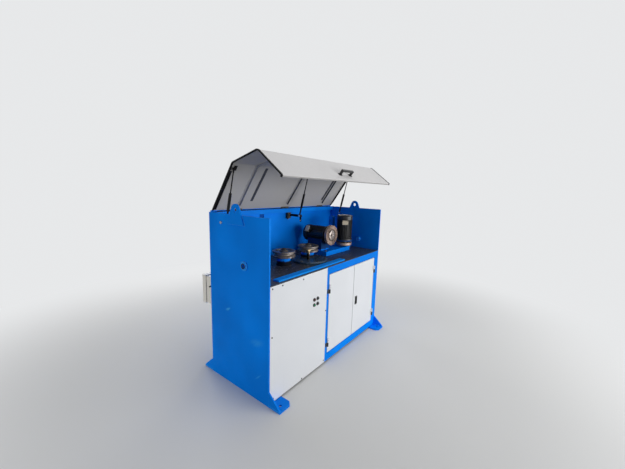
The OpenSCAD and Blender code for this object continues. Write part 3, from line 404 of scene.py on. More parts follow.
def paint(name, colour, rough=0.4, specular=0.5, worn=(0.35, 0.36, 0.38), dirt=(0.10, 0.085, 0.07),
          dirty=0.25, edges=0.5, scale=3.0, coat=0.0, fade=0.10, scratched=0.22, zones=(), inside=None,
          rubs=()):
    """Sprayed paint on steel: orange peel, faded patches, scuffs, rubbed edges and dirt, with zones of
    another colour and pale marks that are partly rub marks and partly painted highlights. What faces down
    takes the colour inside, if that is given, as painted shade."""
    material, f, shade, place = start(name, 0.0, rough, specular)
    wear = use(f, "edge wear and highlight", place, Radius=0.0022, Breakup=55.0)
    grime = use(f, "grime", place, Scale=scale, Amount=dirty)
    scuffs = use(f, "scuffs", place, Scale=1.6)
    dark, light = (tuple(min(1.0, c * share) for c in colour) for share in (1 - fade, 1 + fade))
    base = f.blend(f.ramp(f.noise(place, 1.7, 2.0), 0.32, 0.68), dark, light)
    # Scuffs and edges take the worn colour: worn paint, and on the blue paints a lighter blue that is partly
    # painted highlight.
    base = f.tint(base, scuffs["Mask"], scratched, worn)
    base = f.tint(base, wear["Mask"], edges, worn)
    # Faces that point down take the inside colour: painted shade on the undersides of the open cover.
    if inside:
        facing = f.add("ShaderNodeTexCoord").outputs["Normal"]
        base = f.blend(f.zone(facing, Z_AXIS, 0.0, -0.3), base, inside)
    soiled = f.number("MULTIPLY", grime["Mask"], 0.55)
    base = f.blend(soiled, base, dirt)
    base = f.tint_zones(base, place, zones, 0.03)
    base = add_rubs(f, base, place, rubs)
    f.join(base, shade.inputs["Base Color"])
    dull = f.ramp(grime["Fine"], 0.2, 0.8, rough - 0.06, rough + 0.16)
    f.join(f.number("ADD", dull, f.number("MULTIPLY", soiled, 0.25), clamp=True), shade.inputs["Roughness"])
    shade.inputs["Coat Weight"].default_value = coat
    shade.inputs["Coat Roughness"].default_value = 0.12
    raise_bump(f, shade, f.noise(place, 420.0, 1.0), 0.12, 0.0006, wear["Normal"])
    return material


def metal(name, colour, other, rough=0.35, metallic=1.0, dirt=(0.03, 0.026, 0.022), dirty=0.4, scale=10.0,
          bump=0.2, specular=0.5, shine=0.75, zones=()):
    """Bare or oily metal: two tones, stains and bright edges that are partly worn steel and partly painted
    highlight, with zones of another colour.
    """
    material, f, shade, place = start(name, metallic, rough, specular)
    wear = use(f, "edge wear and highlight", place, Radius=0.0012, Breakup=90.0)
    grime = use(f, "grime", place, Scale=scale, Amount=dirty)
    tone = f.noise(place, scale * 2.6, 5.0, 0.6)
    base = f.blend(f.ramp(tone, 0.35, 0.65), colour, other)
    base = f.tint(base, grime["Mask"], 0.8, dirt)
    base = f.tint_zones(base, place, zones, 0.008)
    # Edges lighter than the metal: partly worn bright steel, partly painted highlight.
    base = f.tint(base, wear["Mask"], shine, tuple(min(1.0, c * 1.35 + 0.05) for c in colour))
    f.join(base, shade.inputs["Base Color"])
    f.join(f.ramp(grime["Fine"], 0.25, 0.75, rough - 0.08, rough + 0.2), shade.inputs["Roughness"])
    if metallic > 0.4:
        stained = f.number("MULTIPLY", grime["Mask"], 0.5)
        f.join(f.number("SUBTRACT", metallic, stained, clamp=True), shade.inputs["Metallic"])
    raise_bump(f, shade, tone, bump, 0.0012, wear["Normal"])
    return material


def plastic(name, colour, rough=0.4, coat=0.0, specular=0.5):
    material, f, shade, place = start(name, 0.0, rough, specular)
    wear = use(f, "edge wear and highlight", place, Radius=0.001, Breakup=120.0)
    grime = use(f, "grime", place, Scale=18.0, Amount=0.3)
    # Edges lighter than the moulding: partly wear, partly painted highlight.
    base = f.tint(colour, wear["Mask"], 0.6, tuple(min(1.0, c * 1.3 + 0.02) for c in colour))
    base = f.tint(base, grime["Mask"], 0.3, (0.16, 0.14, 0.12))
    f.join(base, shade.inputs["Base Color"])
    f.join(f.ramp(grime["Fine"], 0.25, 0.75, rough - 0.05, rough + 0.12), shade.inputs["Roughness"])
    shade.inputs["Coat Weight"].default_value = coat
    raise_bump(f, shade, f.noise(place, 900.0, 1.0), 0.15, 0.0004, wear["Normal"])
    return material


def bristles(name, centre, flat):
    """Wires of a wheel brush that run out from its centre, darker near the core as painted shadow, flat
    being the plane that it turns in.
    """
    material, f, shade, place = start(name, 0.7, 0.42)
    wear = use(f, "edge wear and highlight", place, Radius=0.0004, Breakup=90.0)
    grime = use(f, "grime", place, Scale=26.0, Amount=0.34)
    centred = f.add("ShaderNodeVectorMath", operation="SUBTRACT")
    f.join(place, centred.inputs[0])
    centred.inputs[1].default_value = centre
    level = f.add("ShaderNodeVectorMath", operation="MULTIPLY")
    f.join(centred.outputs[0], level.inputs[0])
    level.inputs[1].default_value = flat
    reach = f.reach(level.outputs[0])
    parts = f.parts(centred.outputs[0])
    across, axis = (2, 1) if flat[2] else (1, 2)
    turn = f.number("ARCTAN2", parts[across], parts[0])
    streaks = f.add("ShaderNodeCombineXYZ")
    for socket, (value, stretch) in enumerate(((turn, 16.0), (reach, 16.0), (parts[axis], 90.0))):
        f.join(f.number("MULTIPLY", value, stretch), streaks.inputs[socket])
    wires = f.noise(streaks.outputs[0], 2.0, 4.0, 0.65)
    base = f.blend(f.ramp(wires, 0.36, 0.62), (0.17, 0.115, 0.09), (0.54, 0.41, 0.345))
    # Painted shadow: the wires go darker towards the core, where the flange shades them.
    base = f.blend(f.ramp(reach, 0.070, 0.052), base, (0.09, 0.07, 0.055))
    base = f.tint(base, grime["Mask"], 0.6, (0.07, 0.05, 0.04))
    f.join(base, shade.inputs["Base Color"])
    f.join(f.ramp(grime["Fine"], 0.25, 0.75, 0.36, 0.6), shade.inputs["Roughness"])
    raise_bump(f, shade, wires, 0.6, 0.0010, wear["Normal"])
    return material


def rib_paint(name, flange, leg_shades, strap):
    """The cover's ribs and straps: flanges in the grey of the cover's inside, which is painted shade, each
    rib's upright leg darker as painted shade of its side, and dark straps.
    """
    material, f, shade, place = start(name, 0.0, 0.42, 0.3)
    wear = use(f, "edge wear and highlight", place, Radius=0.0012, Breakup=60.0)
    grime = use(f, "grime", place, Scale=8.0, Amount=0.25)
    base = strap
    for x, leg in zip(RIBS, leg_shades):
        middle = spot(x, 0, 0).x
        for half, colour in ((0.020, flange), (0.003, leg)):
            past_left = f.zone(place, X_AXIS, middle - half - 0.0004, middle - half)
            before_right = f.zone(place, X_AXIS, middle + half + 0.0004, middle + half)
            base = f.tint(base, past_left, before_right, colour)
    base = f.tint(base, grime["Mask"], 0.4, (0.10, 0.09, 0.08))
    f.join(base, shade.inputs["Base Color"])
    f.join(f.ramp(grime["Fine"], 0.2, 0.8, 0.36, 0.58), shade.inputs["Roughness"])
    raise_bump(f, shade, f.noise(place, 420.0, 1.0), 0.12, 0.0006, wear["Normal"])
    return material


# The finishes of this machine

# The blue paint, the pale blue of its rub marks and painted highlights, and a near black for the housings'
# feet
BLUE, RUB_AND_HIGHLIGHT, FOOT_DARK = (0.0, 0.228, 0.92), (0.06, 0.44, 0.92), (0.012, 0.013, 0.020)

# Pale marks on the left end plate, partly rub marks and partly painted highlights: y and z, lean, half
# length, half height and strength
PLATE_RUBS_AND_HIGHLIGHTS = ((449, 613, -0.48, 0.046, 0.014, 0.9), (122, 448, -0.32, 0.095, 0.040, 0.30),
              (108, 187, -0.75, 0.056, 0.009, 0.5))
RUB_AND_HIGHLIGHT_DEPTH = 0.008


def blue(name, colour=BLUE, **settings):
    # The lighter blue of its edges and scuffs is partly worn paint and partly painted highlight.
    return paint(name, colour, rough=0.42, specular=0.05, worn=(0.09, 0.38, 0.86), dirt=(0.01, 0.05, 0.16),
                 **settings)


def blue_finishes():
    rubs = [(spot(0, y, z), lean, (RUB_AND_HIGHLIGHT_DEPTH, long, high), strength)
            for y, z, lean, long, high, strength in PLATE_RUBS_AND_HIGHLIGHTS]
    # The housings go near black towards the foot and dark grey above the blue.
    dark_foot_grey_neck = ((Z_AXIS, 0.940, 0.926, FOOT_DARK, 1.0), (Z_AXIS, 0.955, 0.964, (0.07, 0.065, 0.06), 1.0))
    # The platform's blue goes darker above its top, over the cradle under the flat motor.
    darker_above_top = ((Z_AXIS, 0.942, 0.956, (0.008, 0.020, 0.055), 0.88),)
    oily_bracket = ((Z_AXIS, 1.032, 1.016, (0.022, 0.024, 0.032), 0.75),)
    return {
        "blue_paint": blue("blue paint", dirty=0.16, edges=0.7, fade=0.14, rubs=rubs),
        # A lighter blue for the loose bar: painted light, as on its lit top.
        "lit_bar_blue": blue("loose bar's blue lightened as painted light", (0.005, 0.30, 1.0), dirty=0.2, edges=0.8, scale=9.0),
        # A lighter blue for the weld beads and the wire bushings: painted highlight.
        "lit_weld_blue": blue("weld paint lightened as painted highlight", (0.03, 0.33, 0.95), dirty=0.1, edges=0.9),
        # A dark blue that stands for the shade in the cable port: painted shade.
        "port_shade_blue": blue("dark blue of the port's blank as painted shade", (0.0, 0.075, 0.36), dirty=0.2, edges=0.3),
        "pedestal_blue": blue("blue housing, dark at its foot", dirty=0.45, edges=0.6, scale=9.0, zones=dark_foot_grey_neck),
        "platform_blue": blue("blue platform, darker above its top", dirty=0.3, edges=0.6, scale=6.0, zones=darker_above_top),
        "column_blue": blue("blue column", dirty=0.25, edges=0.6, scale=6.0, zones=oily_bracket),
    }


def other_paints():
    # The tall motor's cowl goes browner at its top.
    brown_cowl_top = ((Z_AXIS, 1.285, 1.325, (0.12, 0.088, 0.062), 0.6),)
    return {
        "white_paint": paint("white panel paint", (0.78, 0.80, 0.83), specular=0.4, worn=(0.45, 0.44, 0.43),
                             dirty=0.14, edges=0.2, fade=0.02, scratched=0.04),
        # Its inside colour, darker than the outside, is painted shade on the open cover's undersides.
        "cover_grey": paint("cover grey paint", (0.60, 0.59, 0.59), 0.42, 0.35, worn=(0.40, 0.39, 0.38),
                            dirty=0.22, edges=0.25, fade=0.03, scratched=0.08, inside=(0.45, 0.44, 0.43)),
        # Each leg's colour is painted shade of its side, darker from the left rib to the right one; the
        # flanges' grey is the cover's painted-shade inside.
        "rib_paint": rib_paint("rib paint", flange=(0.46, 0.45, 0.44), strap=(0.060, 0.063, 0.078), leg_shades=(
            (0.20, 0.21, 0.25), (0.09, 0.095, 0.11), (0.06, 0.065, 0.08))),
        "box_cream": paint("cream box paint", (0.84, 0.81, 0.74), 0.45, 0.4, worn=(0.50, 0.47, 0.42),
                           dirty=0.25, edges=0.2, fade=0.03),
        "lid_cream": paint("cream terminal lids", (0.74, 0.64, 0.48), 0.42, 0.4, worn=(0.30, 0.27, 0.22),
                           dirty=0.35, edges=0.5, scale=20.0, fade=0.05),
        "strut_black": paint("black enamel", (0.006, 0.006, 0.007), 0.40, 0.15, worn=(0.12, 0.12, 0.13),
                             dirty=0.15, edges=0.3, scale=8.0, fade=0.3),
        "dark_paint": paint("dark primer", (0.040, 0.042, 0.050), worn=(0.30, 0.30, 0.32), dirty=0.25,
                            edges=0.9, scale=8.0),
        "motor_black": paint("motor enamel", (0.010, 0.011, 0.015), 0.36, 0.45, worn=(0.10, 0.09, 0.08),
                             dirt=(0.05, 0.042, 0.034), dirty=0.45, edges=0.5, scale=11.0, coat=0.15,
                             zones=brown_cowl_top),
    }


def metals():
    # Lighter grey at the deck's left end for its scratched scale, and a blue tint towards the right as
    # painted reflection of the blue plates.
    deck_scratches_and_blue_reflection = ((X_AXIS, -0.42, -0.82, (0.115, 0.12, 0.135), 0.5),
                 (X_AXIS, 0.05, 0.40, (0.018, 0.045, 0.10), 0.65))
    # A lighter band on the wheels' upper rim as painted highlight, and darker above it at the hub.
    wheel_rim_highlight_and_dark_hub = ((Z_AXIS, 0.974, 0.984, (0.36, 0.31, 0.27), 0.6),
                   (Z_AXIS, 1.0, 1.010, (0.11, 0.10, 0.10), 0.6))
    # The guide goes nearly black towards its low end.
    darker_low_end = ((Z_AXIS, 0.968, 0.958, (0.016, 0.015, 0.016), 0.95),)
    return {
        "oily_steel": metal("oily deck plate", (0.060, 0.056, 0.056), (0.028, 0.028, 0.034), 0.42, 0.2,
                            dirt=(0.014, 0.014, 0.018), dirty=0.45, scale=7.0, bump=0.5, specular=0.4,
                            shine=0.5, zones=deck_scratches_and_blue_reflection),
        # Dark oily steel with a blue tint that is painted sheen.
        "disc_steel_and_sheen": metal("oily base disc with painted blue sheen", (0.046, 0.092, 0.145), (0.026, 0.054, 0.084), 0.26, 0.3,
                            dirt=(0.014, 0.015, 0.020), dirty=0.30, scale=9.0, specular=0.7, shine=0.8),
        "mill_scale": metal("mill scale", (0.34, 0.33, 0.34), (0.14, 0.135, 0.14), 0.4, 0.3, dirty=0.25,
                            scale=40.0, bump=0.1),
        "boss_steel": metal("turned flange steel", (0.54, 0.47, 0.44), (0.28, 0.235, 0.215), 0.3, 0.9,
                            dirt=(0.05, 0.04, 0.035), dirty=0.50, scale=24.0, bump=0.12),
        "worn_steel": metal("rolled wheel steel", (0.22, 0.195, 0.185), (0.08, 0.072, 0.070), 0.36, 0.6,
                            dirt=(0.03, 0.027, 0.027), dirty=0.5, scale=14.0, bump=0.35, zones=wheel_rim_highlight_and_dark_hub),
        "bright_steel": metal("plated steel", (0.55, 0.55, 0.56), (0.42, 0.42, 0.43), 0.28, 1.0, dirty=0.3,
                              scale=22.0, bump=0.08),
        "dark_steel": metal("blackened bolts", (0.10, 0.10, 0.105), (0.05, 0.05, 0.055), 0.35, 0.8,
                            dirty=0.35, scale=30.0, bump=0.1),
        "guide_brass": metal("brass wire guide", (0.78, 0.60, 0.34), (0.60, 0.44, 0.24), 0.28, 1.0,
                             dirty=0.4, scale=20.0, bump=0.06, zones=darker_low_end),
        "switch_bronze": metal("dull switch case", (0.10, 0.08, 0.05), (0.03, 0.027, 0.025), 0.4, 0.6,
                               dirty=0.55, scale=26.0, bump=0.1),
        "flat_bristles": bristles("flat brush wires", spot(*FLAT_BRUSH), (1, 0, 1)),
        "tall_bristles": bristles("tall brush wires", spot(*TALL_BRUSH), (1, 1, 0)),
    }


def plastics():
    return {
        "rubber": plastic("edge rubber", (0.004, 0.004, 0.005), 0.6, specular=0.15),
        "black_plastic": plastic("black moulding", (0.020, 0.020, 0.022), 0.38),
        "green_plastic": plastic("green cap", (0.02, 0.22, 0.10), 0.25, coat=0.3),
        "red_plastic": plastic("red cap", (0.07, 0.007, 0.006), 0.25, coat=0.3),
    }


FINISHES = {**blue_finishes(), **other_paints(), **metals(), **plastics()}

# Nodes that share a slot with others but show a finish of their own
OWN_FINISH = {
    "wheel_pedestals": "pedestal_blue", "motor_platform": "platform_blue", "motor_column": "column_blue",
    "wire_guide": "guide_brass", "safety_switch": "switch_bronze", "cover_ribs": "rib_paint",
    "base_disc": "disc_steel_and_sheen", "terminal_lids": "lid_cream", "deck_bar": "lit_bar_blue",
    "wire_bushings": "lit_weld_blue", "horizontal_brush": "flat_bristles", "vertical_brush": "tall_bristles",
}


def dress_nodes():
    for part in frame["record"]["subparts"]:
        node = frame["nodes"][part["node"]]
        node.data.materials.clear()
        node.data.materials.append(FINISHES[OWN_FINISH.get(part["node"], part["material_slot"])])


# Modelling by hand

def clear():
    bpy.ops.object.select_all(action="DESELECT")


def only(piece):
    clear()
    piece.select_set(True)
    bpy.context.view_layer.objects.active = piece


def edit(piece, mode="FACE"):
    only(piece)
    bpy.ops.object.mode_set(mode="EDIT")
    bpy.ops.mesh.select_mode(type=mode)
    bpy.ops.mesh.select_all(action="DESELECT")


def pick_faces(piece, test):
    mesh = bmesh.from_edit_mesh(piece.data)
    for face in mesh.faces:
        face.select = bool(test(face.calc_center_median(), face.normal))
    mesh.select_flush(True)
    bmesh.update_edit_mesh(piece.data)


def pick_edges(piece, test):
    mesh = bmesh.from_edit_mesh(piece.data)
    for edge in mesh.edges:
        edge.select = bool(test(*(v.co for v in edge.verts)))
    mesh.select_flush(False)
    bmesh.update_edit_mesh(piece.data)


def pick_points(piece, test):
    mesh = bmesh.from_edit_mesh(piece.data)
    for point in mesh.verts:
        point.select = bool(test(point.co))
    mesh.select_flush(True)
    bmesh.update_edit_mesh(piece.data)


def top(centre, normal):
    return normal.z > 0.9


def flat_top(centre, normal):
    """The top alone, where a bevel round it leans almost as much."""
    return normal.z > 0.98


def underside(centre, normal):
    return normal.z < -0.9


def pull(x, y, z):
    """Extrudes what is picked by a step in metres."""
    bpy.ops.mesh.extrude_region_move(TRANSFORM_OT_translate={"value": (x, y, z)})


def stretch(x, y, z):
    """Sizes what is picked about its middle."""
    bpy.ops.transform.resize(value=(x, y, z))


def inset(rim):
    """Insets the picked faces, which leaves a rim round them."""
    bpy.ops.mesh.inset(thickness=rim)


def leave():
    bpy.ops.object.mode_set(mode="OBJECT")


def freeze(piece):
    only(piece)
    bpy.ops.object.transform_apply(location=True, rotation=True, scale=True)
    return piece


def block(low, high):
    """A cube between two corners given in metres, ready to be shaped."""
    low, high = Vector(low), Vector(high)
    bpy.ops.mesh.primitive_cube_add(size=1, location=(low + high) / 2)
    piece = bpy.context.object
    piece.scale = high - low
    return freeze(piece)


def disc(radius, depth, sides=32):
    """A round bar that stands on z = 0 at the origin, ready to be shaped."""
    bpy.ops.mesh.primitive_cylinder_add(vertices=sides, radius=radius, depth=depth,
                                        location=(0, 0, depth / 2))
    return freeze(bpy.context.object)


def chamfered(radius, depth, sides, width, segments=2):
    """A round bar with its upper edge bevelled, still open for editing."""
    piece = disc(radius, depth, sides)
    edit(piece)
    pick_faces(piece, top)
    bpy.ops.mesh.bevel(offset=width, segments=segments)
    return piece


def round_off(piece, width, segments=2, angle=40):
    """Bevels the piece's sharp edges."""
    only(piece)
    bevel = piece.modifiers.new("soft edges", "BEVEL")
    bevel.width, bevel.segments = width, segments
    bevel.limit_method, bevel.angle_limit = "ANGLE", math.radians(angle)
    bpy.ops.object.modifier_apply(modifier=bevel.name)
    return piece


def fuse(pieces):
    clear()
    for piece in pieces:
        piece.select_set(True)
    bpy.context.view_layer.objects.active = pieces[0]
    bpy.ops.object.join()
    return bpy.context.object


def put(piece, matrix):
    """Moves a piece that was shaped at the origin by a matrix."""
    piece.matrix_world = matrix @ piece.matrix_world
    return freeze(piece)


def settle(piece, name, body, finish, angle=35):
    """Names a finished piece, puts its place in its mesh and lets it ride on its body."""
    freeze(piece)
    piece.name = name
    piece.data.name = name
    bpy.ops.object.shade_smooth_by_angle(angle=math.radians(angle))
    piece.data.materials.clear()
    piece.data.materials.append(FINISHES[finish])
    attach(piece, body)
    return piece


def twin_of(piece):
    twin = piece.copy()
    twin.data = piece.data.copy()
    bpy.context.scene.collection.objects.link(twin)
    return twin


def repeat(pattern, places):
    """Joined copies of a modelled piece at places given as (place, way up) or as those, spin and size."""
    twins = []
    for item in places:
        place, way, spin, size = (*item, 0.0, 1.0)[:4]
        twin = twin_of(pattern)
        twin.matrix_world = (Matrix.Translation(place) @ stand(way) @ Matrix.Rotation(spin, 4, "Z")
                             @ Matrix.Scale(size, 4))
        twins.append(twin)
    bpy.data.objects.remove(pattern)
    return fuse(twins)


def dark_fasteners(pattern, places, name, body="root"):
    settle(repeat(pattern, places), name, body, "dark_steel")


def hex_head(across, high, washer=0.0):
    """A hexagon bolt head, chamfered, on its washer if it has one."""
    parts = []
    lift = washer * 0.16
    if washer:
        plate = chamfered(washer, lift, 24, washer * 0.05, 1)
        leave()
        parts.append(plate)
    head = disc(across / math.sqrt(3), high, 6)
    edit(head)
    pick_faces(head, top)
    inset(across * 0.07)
    bpy.ops.transform.translate(value=(0, 0, high * 0.10))
    inset(across * 0.12)
    bpy.ops.transform.translate(value=(0, 0, -high * 0.05))
    leave()
    head.location.z = lift
    parts.append(freeze(head))
    return fuse(parts) if washer else head


def cap_screw(radius, high):
    """A round screw head with a hexagon socket."""
    head = chamfered(radius, high, 24, radius * 0.18)
    pick_faces(head, flat_top)
    inset(radius * 0.34)
    pull(0, 0, -high * 0.55)
    leave()
    return head


def gland(radius):
    """A cable gland with a blind plug: hexagon, domed nut and plug."""
    base = hex_head(radius * 2.1, radius * 0.8)
    dome = chamfered(radius * 0.92, radius * 1.5, 20, radius * 0.35, 3)
    pick_faces(dome, flat_top)
    inset(radius * 0.14)
    pull(0, 0, -radius * 0.3)
    leave()
    dome.location.z = radius * 0.7
    return fuse([base, freeze(dome)])


def ring(x, y, z, radius, count, way, start_angle=0.0):
    """Places round a circle in millimetres, about an axis that points along way ('x', 'y' or 'z')."""
    found = []
    for i in range(count):
        a = math.radians(start_angle + 360 * i / count)
        u, v = radius * math.cos(a), radius * math.sin(a)
        found.append({"x": (x, y + u, z + v), "y": (x + u, y, z + v), "z": (x + u, y + v, z)}[way])
    return found


# Welds

def weld(name, runs, finish, bead=0.0045, pitch=4.0):
    """Rippled weld beads along straight runs of (start, end, way out) in millimetres."""
    bpy.ops.mesh.primitive_uv_sphere_add(segments=8, ring_count=5, radius=bead)
    drop = bpy.context.object
    edit(drop, "VERT")
    bpy.ops.mesh.select_all(action="SELECT")
    stretch(1.0, 1.0, 0.55)
    pick_points(drop, lambda c: c.z > bead * 0.3)
    stretch(0.8, 0.8, 1.0)
    leave()
    places = []
    for first, last, way in runs:
        first, last = Vector(first), Vector(last)
        count = max(2, round((last - first).length / pitch))
        for i in range(count + 1):
            size = 1.0 + 0.08 * math.sin(2.3 * i)
            places.append((spot(*first.lerp(last, i / count)), way, 0.7 * i, size))
    settle(repeat(drop, places), name, "root", finish, angle=70)


def frame_welds():
    """Welds of the lifting lugs and of the foot plates on both end plates."""
    runs = []
    lug_low, lug_high = 1281, 1349
    for side, face in ((-1, 0), (1, LENGTH)):
        out = (side, 0, 0)
        runs += [((face, 245, lug_low), (face, 425, lug_low), out),
                 ((face, 244, lug_low), (face, 272, lug_high), out),
                 ((face, 426, lug_low), (face, 398, lug_high), out)]
        for y0, y1 in ((-104, -2), (672, 774)):
            for x, lean in ((face, side), (face - PLATE * side, -side)):
                runs.append(((x, y0, PLATE), (x, y1, PLATE), (lean, 0, 1)))
    weld("frame_welds", runs, "lit_weld_blue")


def round_foot(x_ends, y_ends, z):
    """Runs of weld round the foot of a square post."""
    (x0, x1), (y0, y1) = x_ends, y_ends
    return [((x0, y0, z), (x1, y0, z), (0, -1, 1)), ((x0, y1, z), (x1, y1, z), (0, 1, 1)),
            ((x0, y0, z), (x0, y1, z), (-1, 0, 1)), ((x1, y0, z), (x1, y1, z), (1, 0, 1))]


def platform_welds():
    runs = round_foot(COLUMN_X, COLUMN_Y, PLATFORM_TOP) + round_foot(CRADLE_X, CRADLE_Y, PLATFORM_TOP)
    weld("platform_welds", runs, "platform_blue")


def housing_welds():
    runs, steps = [], 28
    for (x, y), z in ((WHEEL_1, DECK_TOP), (WHEEL_2, DISC_TOP)):
        rim = ring(x, y, z, HOUSING_R, steps, "z")
        for i, place in enumerate(rim):
            runs.append((place, rim[(i + 1) % steps], (place[0] - x, place[1] - y, HOUSING_R)))
    weld("housing_welds", runs, "oily_steel", pitch=6.0)


# Screws and loose scale of the cabinet

def panel_screws():
    places = [(33, 870), (132, 872), (365, 862), (31, 518), (681, 506), (46, 42), (368, 26), (672, 40)]
    screws = repeat(cap_screw(0.0055, 0.003), [(spot(x, 0, z), (0, -1, 0)) for x, z in places])
    settle(screws, "panel_screws", "root", "black_plastic")


def wall_screws():
    """Rows of hexagon heads that hold the back wall to the end plates' flanges and to the deck."""
    from_end, deck_row, deck_pitch = 26, 886, 190
    places = [(x, z) for x in (from_end, LENGTH - from_end) for z in range(120, 1300, 165)]
    places += [(x, deck_row) for x in range(2 * deck_pitch, LENGTH - 150, deck_pitch)]
    dark_fasteners(hex_head(0.010, 0.005, 0.0085), [(spot(x, DEPTH, z), (0, 1, 0)) for x, z in places],
                   "wall_screws")


def door_hinge_screws():
    screw = cap_screw(0.0036, 0.0016)
    left, right = DOOR_PINS
    leaf, leaf_face = 17, -4
    spots = {"left_door": [], "right_door": [], "root": []}
    for z in DOOR_HINGES:
        for dz in (10, 28):
            spots["left_door"].append((left + leaf, z + dz))
            spots["right_door"].append((right - leaf, z + dz))
            spots["root"] += [(left - leaf, z - dz), (right + leaf, z - dz)]
    for body, places in spots.items():
        dark_fasteners(twin_of(screw), [(spot(x, leaf_face, z), (0, -1, 0)) for x, z in places],
                       "hinge_screws_" + body, body)
    bpy.data.objects.remove(screw)


def deck_scale():
    """Flakes of mill scale that lie on the deck, mostly at its left end, and on the base disc."""
    flake = disc(0.0055, 0.0005, 6)
    edit(flake, "VERT")
    pick_points(flake, lambda c: c.x > 0.004)
    bpy.ops.transform.translate(value=(-0.0018, 0.0012, 0))
    pick_points(flake, lambda c: c.y < -0.004)
    bpy.ops.transform.translate(value=(0.0014, 0.0016, 0.0003))
    leave()
    flakes, housing_room, platform_room, full_turn = 760, 76, 8, 6.283
    random.seed(11)
    places = []
    while len(places) < flakes:
        x = 16 + 1660 * random.random() ** 3.0
        y = 84 + 540 * random.random()
        if min(math.hypot(x - wheel[0], y - wheel[1]) for wheel in (WHEEL_1, WHEEL_2)) < housing_room:
            continue
        if (PLATFORM_X[0] - platform_room < x < PLATFORM_X[1] + platform_room
                and PLATFORM_Y[0] - platform_room < y < PLATFORM_Y[1] + platform_room):
            continue
        from_centre = math.hypot(x - BASE_DISC[0], y - BASE_DISC[1])
        if DISC_RIM[0] < from_centre < DISC_RIM[1]:
            continue
        z = DISC_TOP if from_centre < DISC_RIM[1] else DECK_TOP
        turn, size = full_turn * random.random(), 0.35 + 1.1 * random.random() ** 2
        places.append((spot(x, y, z), (0, 0, 1), turn, size))
    settle(repeat(flake, places), "deck_scale", "root", "mill_scale")


# Port and rubber

def port_shade_blank():
    """A blanking plate pressed into the back wall's cable port, with a stepped rim on both sides, dark blue
    as painted shade in the port.
    """
    plate = block(spot(PORT_X[0], 665, PORT_Z[0]), spot(PORT_X[1], 669, PORT_Z[1]))
    edit(plate)
    for side in (-1, 1):
        step = side * 0.0035
        pick_faces(plate, lambda c, n: n.y * side > 0.9)
        pull(0, step * 0.3, 0)
        pull(0, 0, 0)
        stretch(1.22, 1.0, 1.28)
        pull(0, step, 0)
        stretch(0.95, 1.0, 0.94)
        inset(0.006)
        pull(0, -step * 0.7, 0)
    leave()
    round_off(plate, 0.0006, 1)
    settle(plate, "port_shade_blank", "root", "port_shade_blue")


def rail_seal():
    """A bulb seal on the rear rail, under the cover's rear edge and between its side seals."""
    strip = block(spot(58, 640, RAIL_TOP), spot(LENGTH - 58, 651, RAIL_TOP + 2))
    edit(strip)
    pick_faces(strip, top)
    inset(0.0015)
    pull(0, 0, 0.003)
    pull(0, 0, 0.0012)
    stretch(1.0, 0.55, 1.0)
    leave()
    settle(strip, "rail_seal", "root", "rubber", angle=60)


def cover_side_seals():
    """Rubber strips along both side edges of the cover's rear panel, inside it and short of the struts."""
    middle, under_face, half_long = 191, -3.2, 0.181
    for name, x0, x1 in (("left", 22, 50), ("right", LENGTH - 50, LENGTH - 22)):
        place, lean = on_cover((x0 + x1) / 2, middle, under_face)
        half = (x1 - x0) / 2000
        strip = block((-half, -half_long, -0.0022), (half, half_long, 0))
        edit(strip)
        pick_faces(strip, underside)
        inset(0.005)
        pull(0, 0, -0.0022)
        stretch(0.6, 0.99, 1.0)
        leave()
        round_off(strip, 0.0008, 2, 25)
        put(strip, Matrix.Translation(place) @ Matrix.Rotation(lean, 4, "X"))
        settle(strip, "cover_seal_" + name, "cover", "rubber", angle=50)


# Brush drives

def brush_wires(name, body, finish, centre, axis, radius):
    """Rows of wires that stand proud of a wheel brush's core."""
    core, thick, rows, count = 0.059, 0.0266, 5, 230
    bpy.ops.mesh.primitive_cylinder_add(vertices=4, radius=0.0011, depth=radius - core)
    wire = bpy.context.object
    edit(wire)
    pick_faces(wire, lambda c, n: abs(n.z) < 0.5)
    bpy.ops.mesh.subdivide(number_cuts=1)
    pick_faces(wire, top)
    stretch(0.5, 0.5, 1.0)
    leave()
    freeze(wire)
    turn = stand(axis).to_3x3()
    random.seed(5)
    places = []
    for row in range(rows):
        for i in range(count):
            a = 2 * math.pi * (i + row / rows) / count
            r = (radius + core) / 2 - 0.0016 * random.random()
            h = (row / (rows - 1) - 0.5) * thick
            sway = 0.09 * (random.random() - 0.5)
            local = Vector((r * math.cos(a), r * math.sin(a), h))
            way = Vector((math.cos(a + sway), math.sin(a + sway), 0.02 * (random.random() - 0.5)))
            places.append((spot(*centre) + turn @ local, turn @ way))
    settle(repeat(wire, places), name, body, finish)


def brush_boss(name, body, centre, way, room):
    """A dished clamping flange with a hexagon nut and the shaft's end, room high."""
    flange = disc(0.050, 0.0022, 48)
    edit(flange)
    pick_faces(flange, top)
    inset(0.007)
    pull(0, 0, 0.0022)
    stretch(0.88, 0.88, 1.0)
    inset(0.010)
    pull(0, 0, 0.0012)
    leave()
    flange.location.z = -0.0026
    nut = hex_head(0.030, (room - 0.003) * 0.62, 0.020)
    stud = chamfered(0.0095, room - 0.002, 24, 0.0016)
    leave()
    boss = fuse([freeze(flange), nut, stud])
    face_out = 16
    place = spot(*(c + face_out * w for c, w in zip(centre, way)))
    put(boss, Matrix.Translation(place) @ stand(way))
    settle(boss, name, body, "boss_steel")


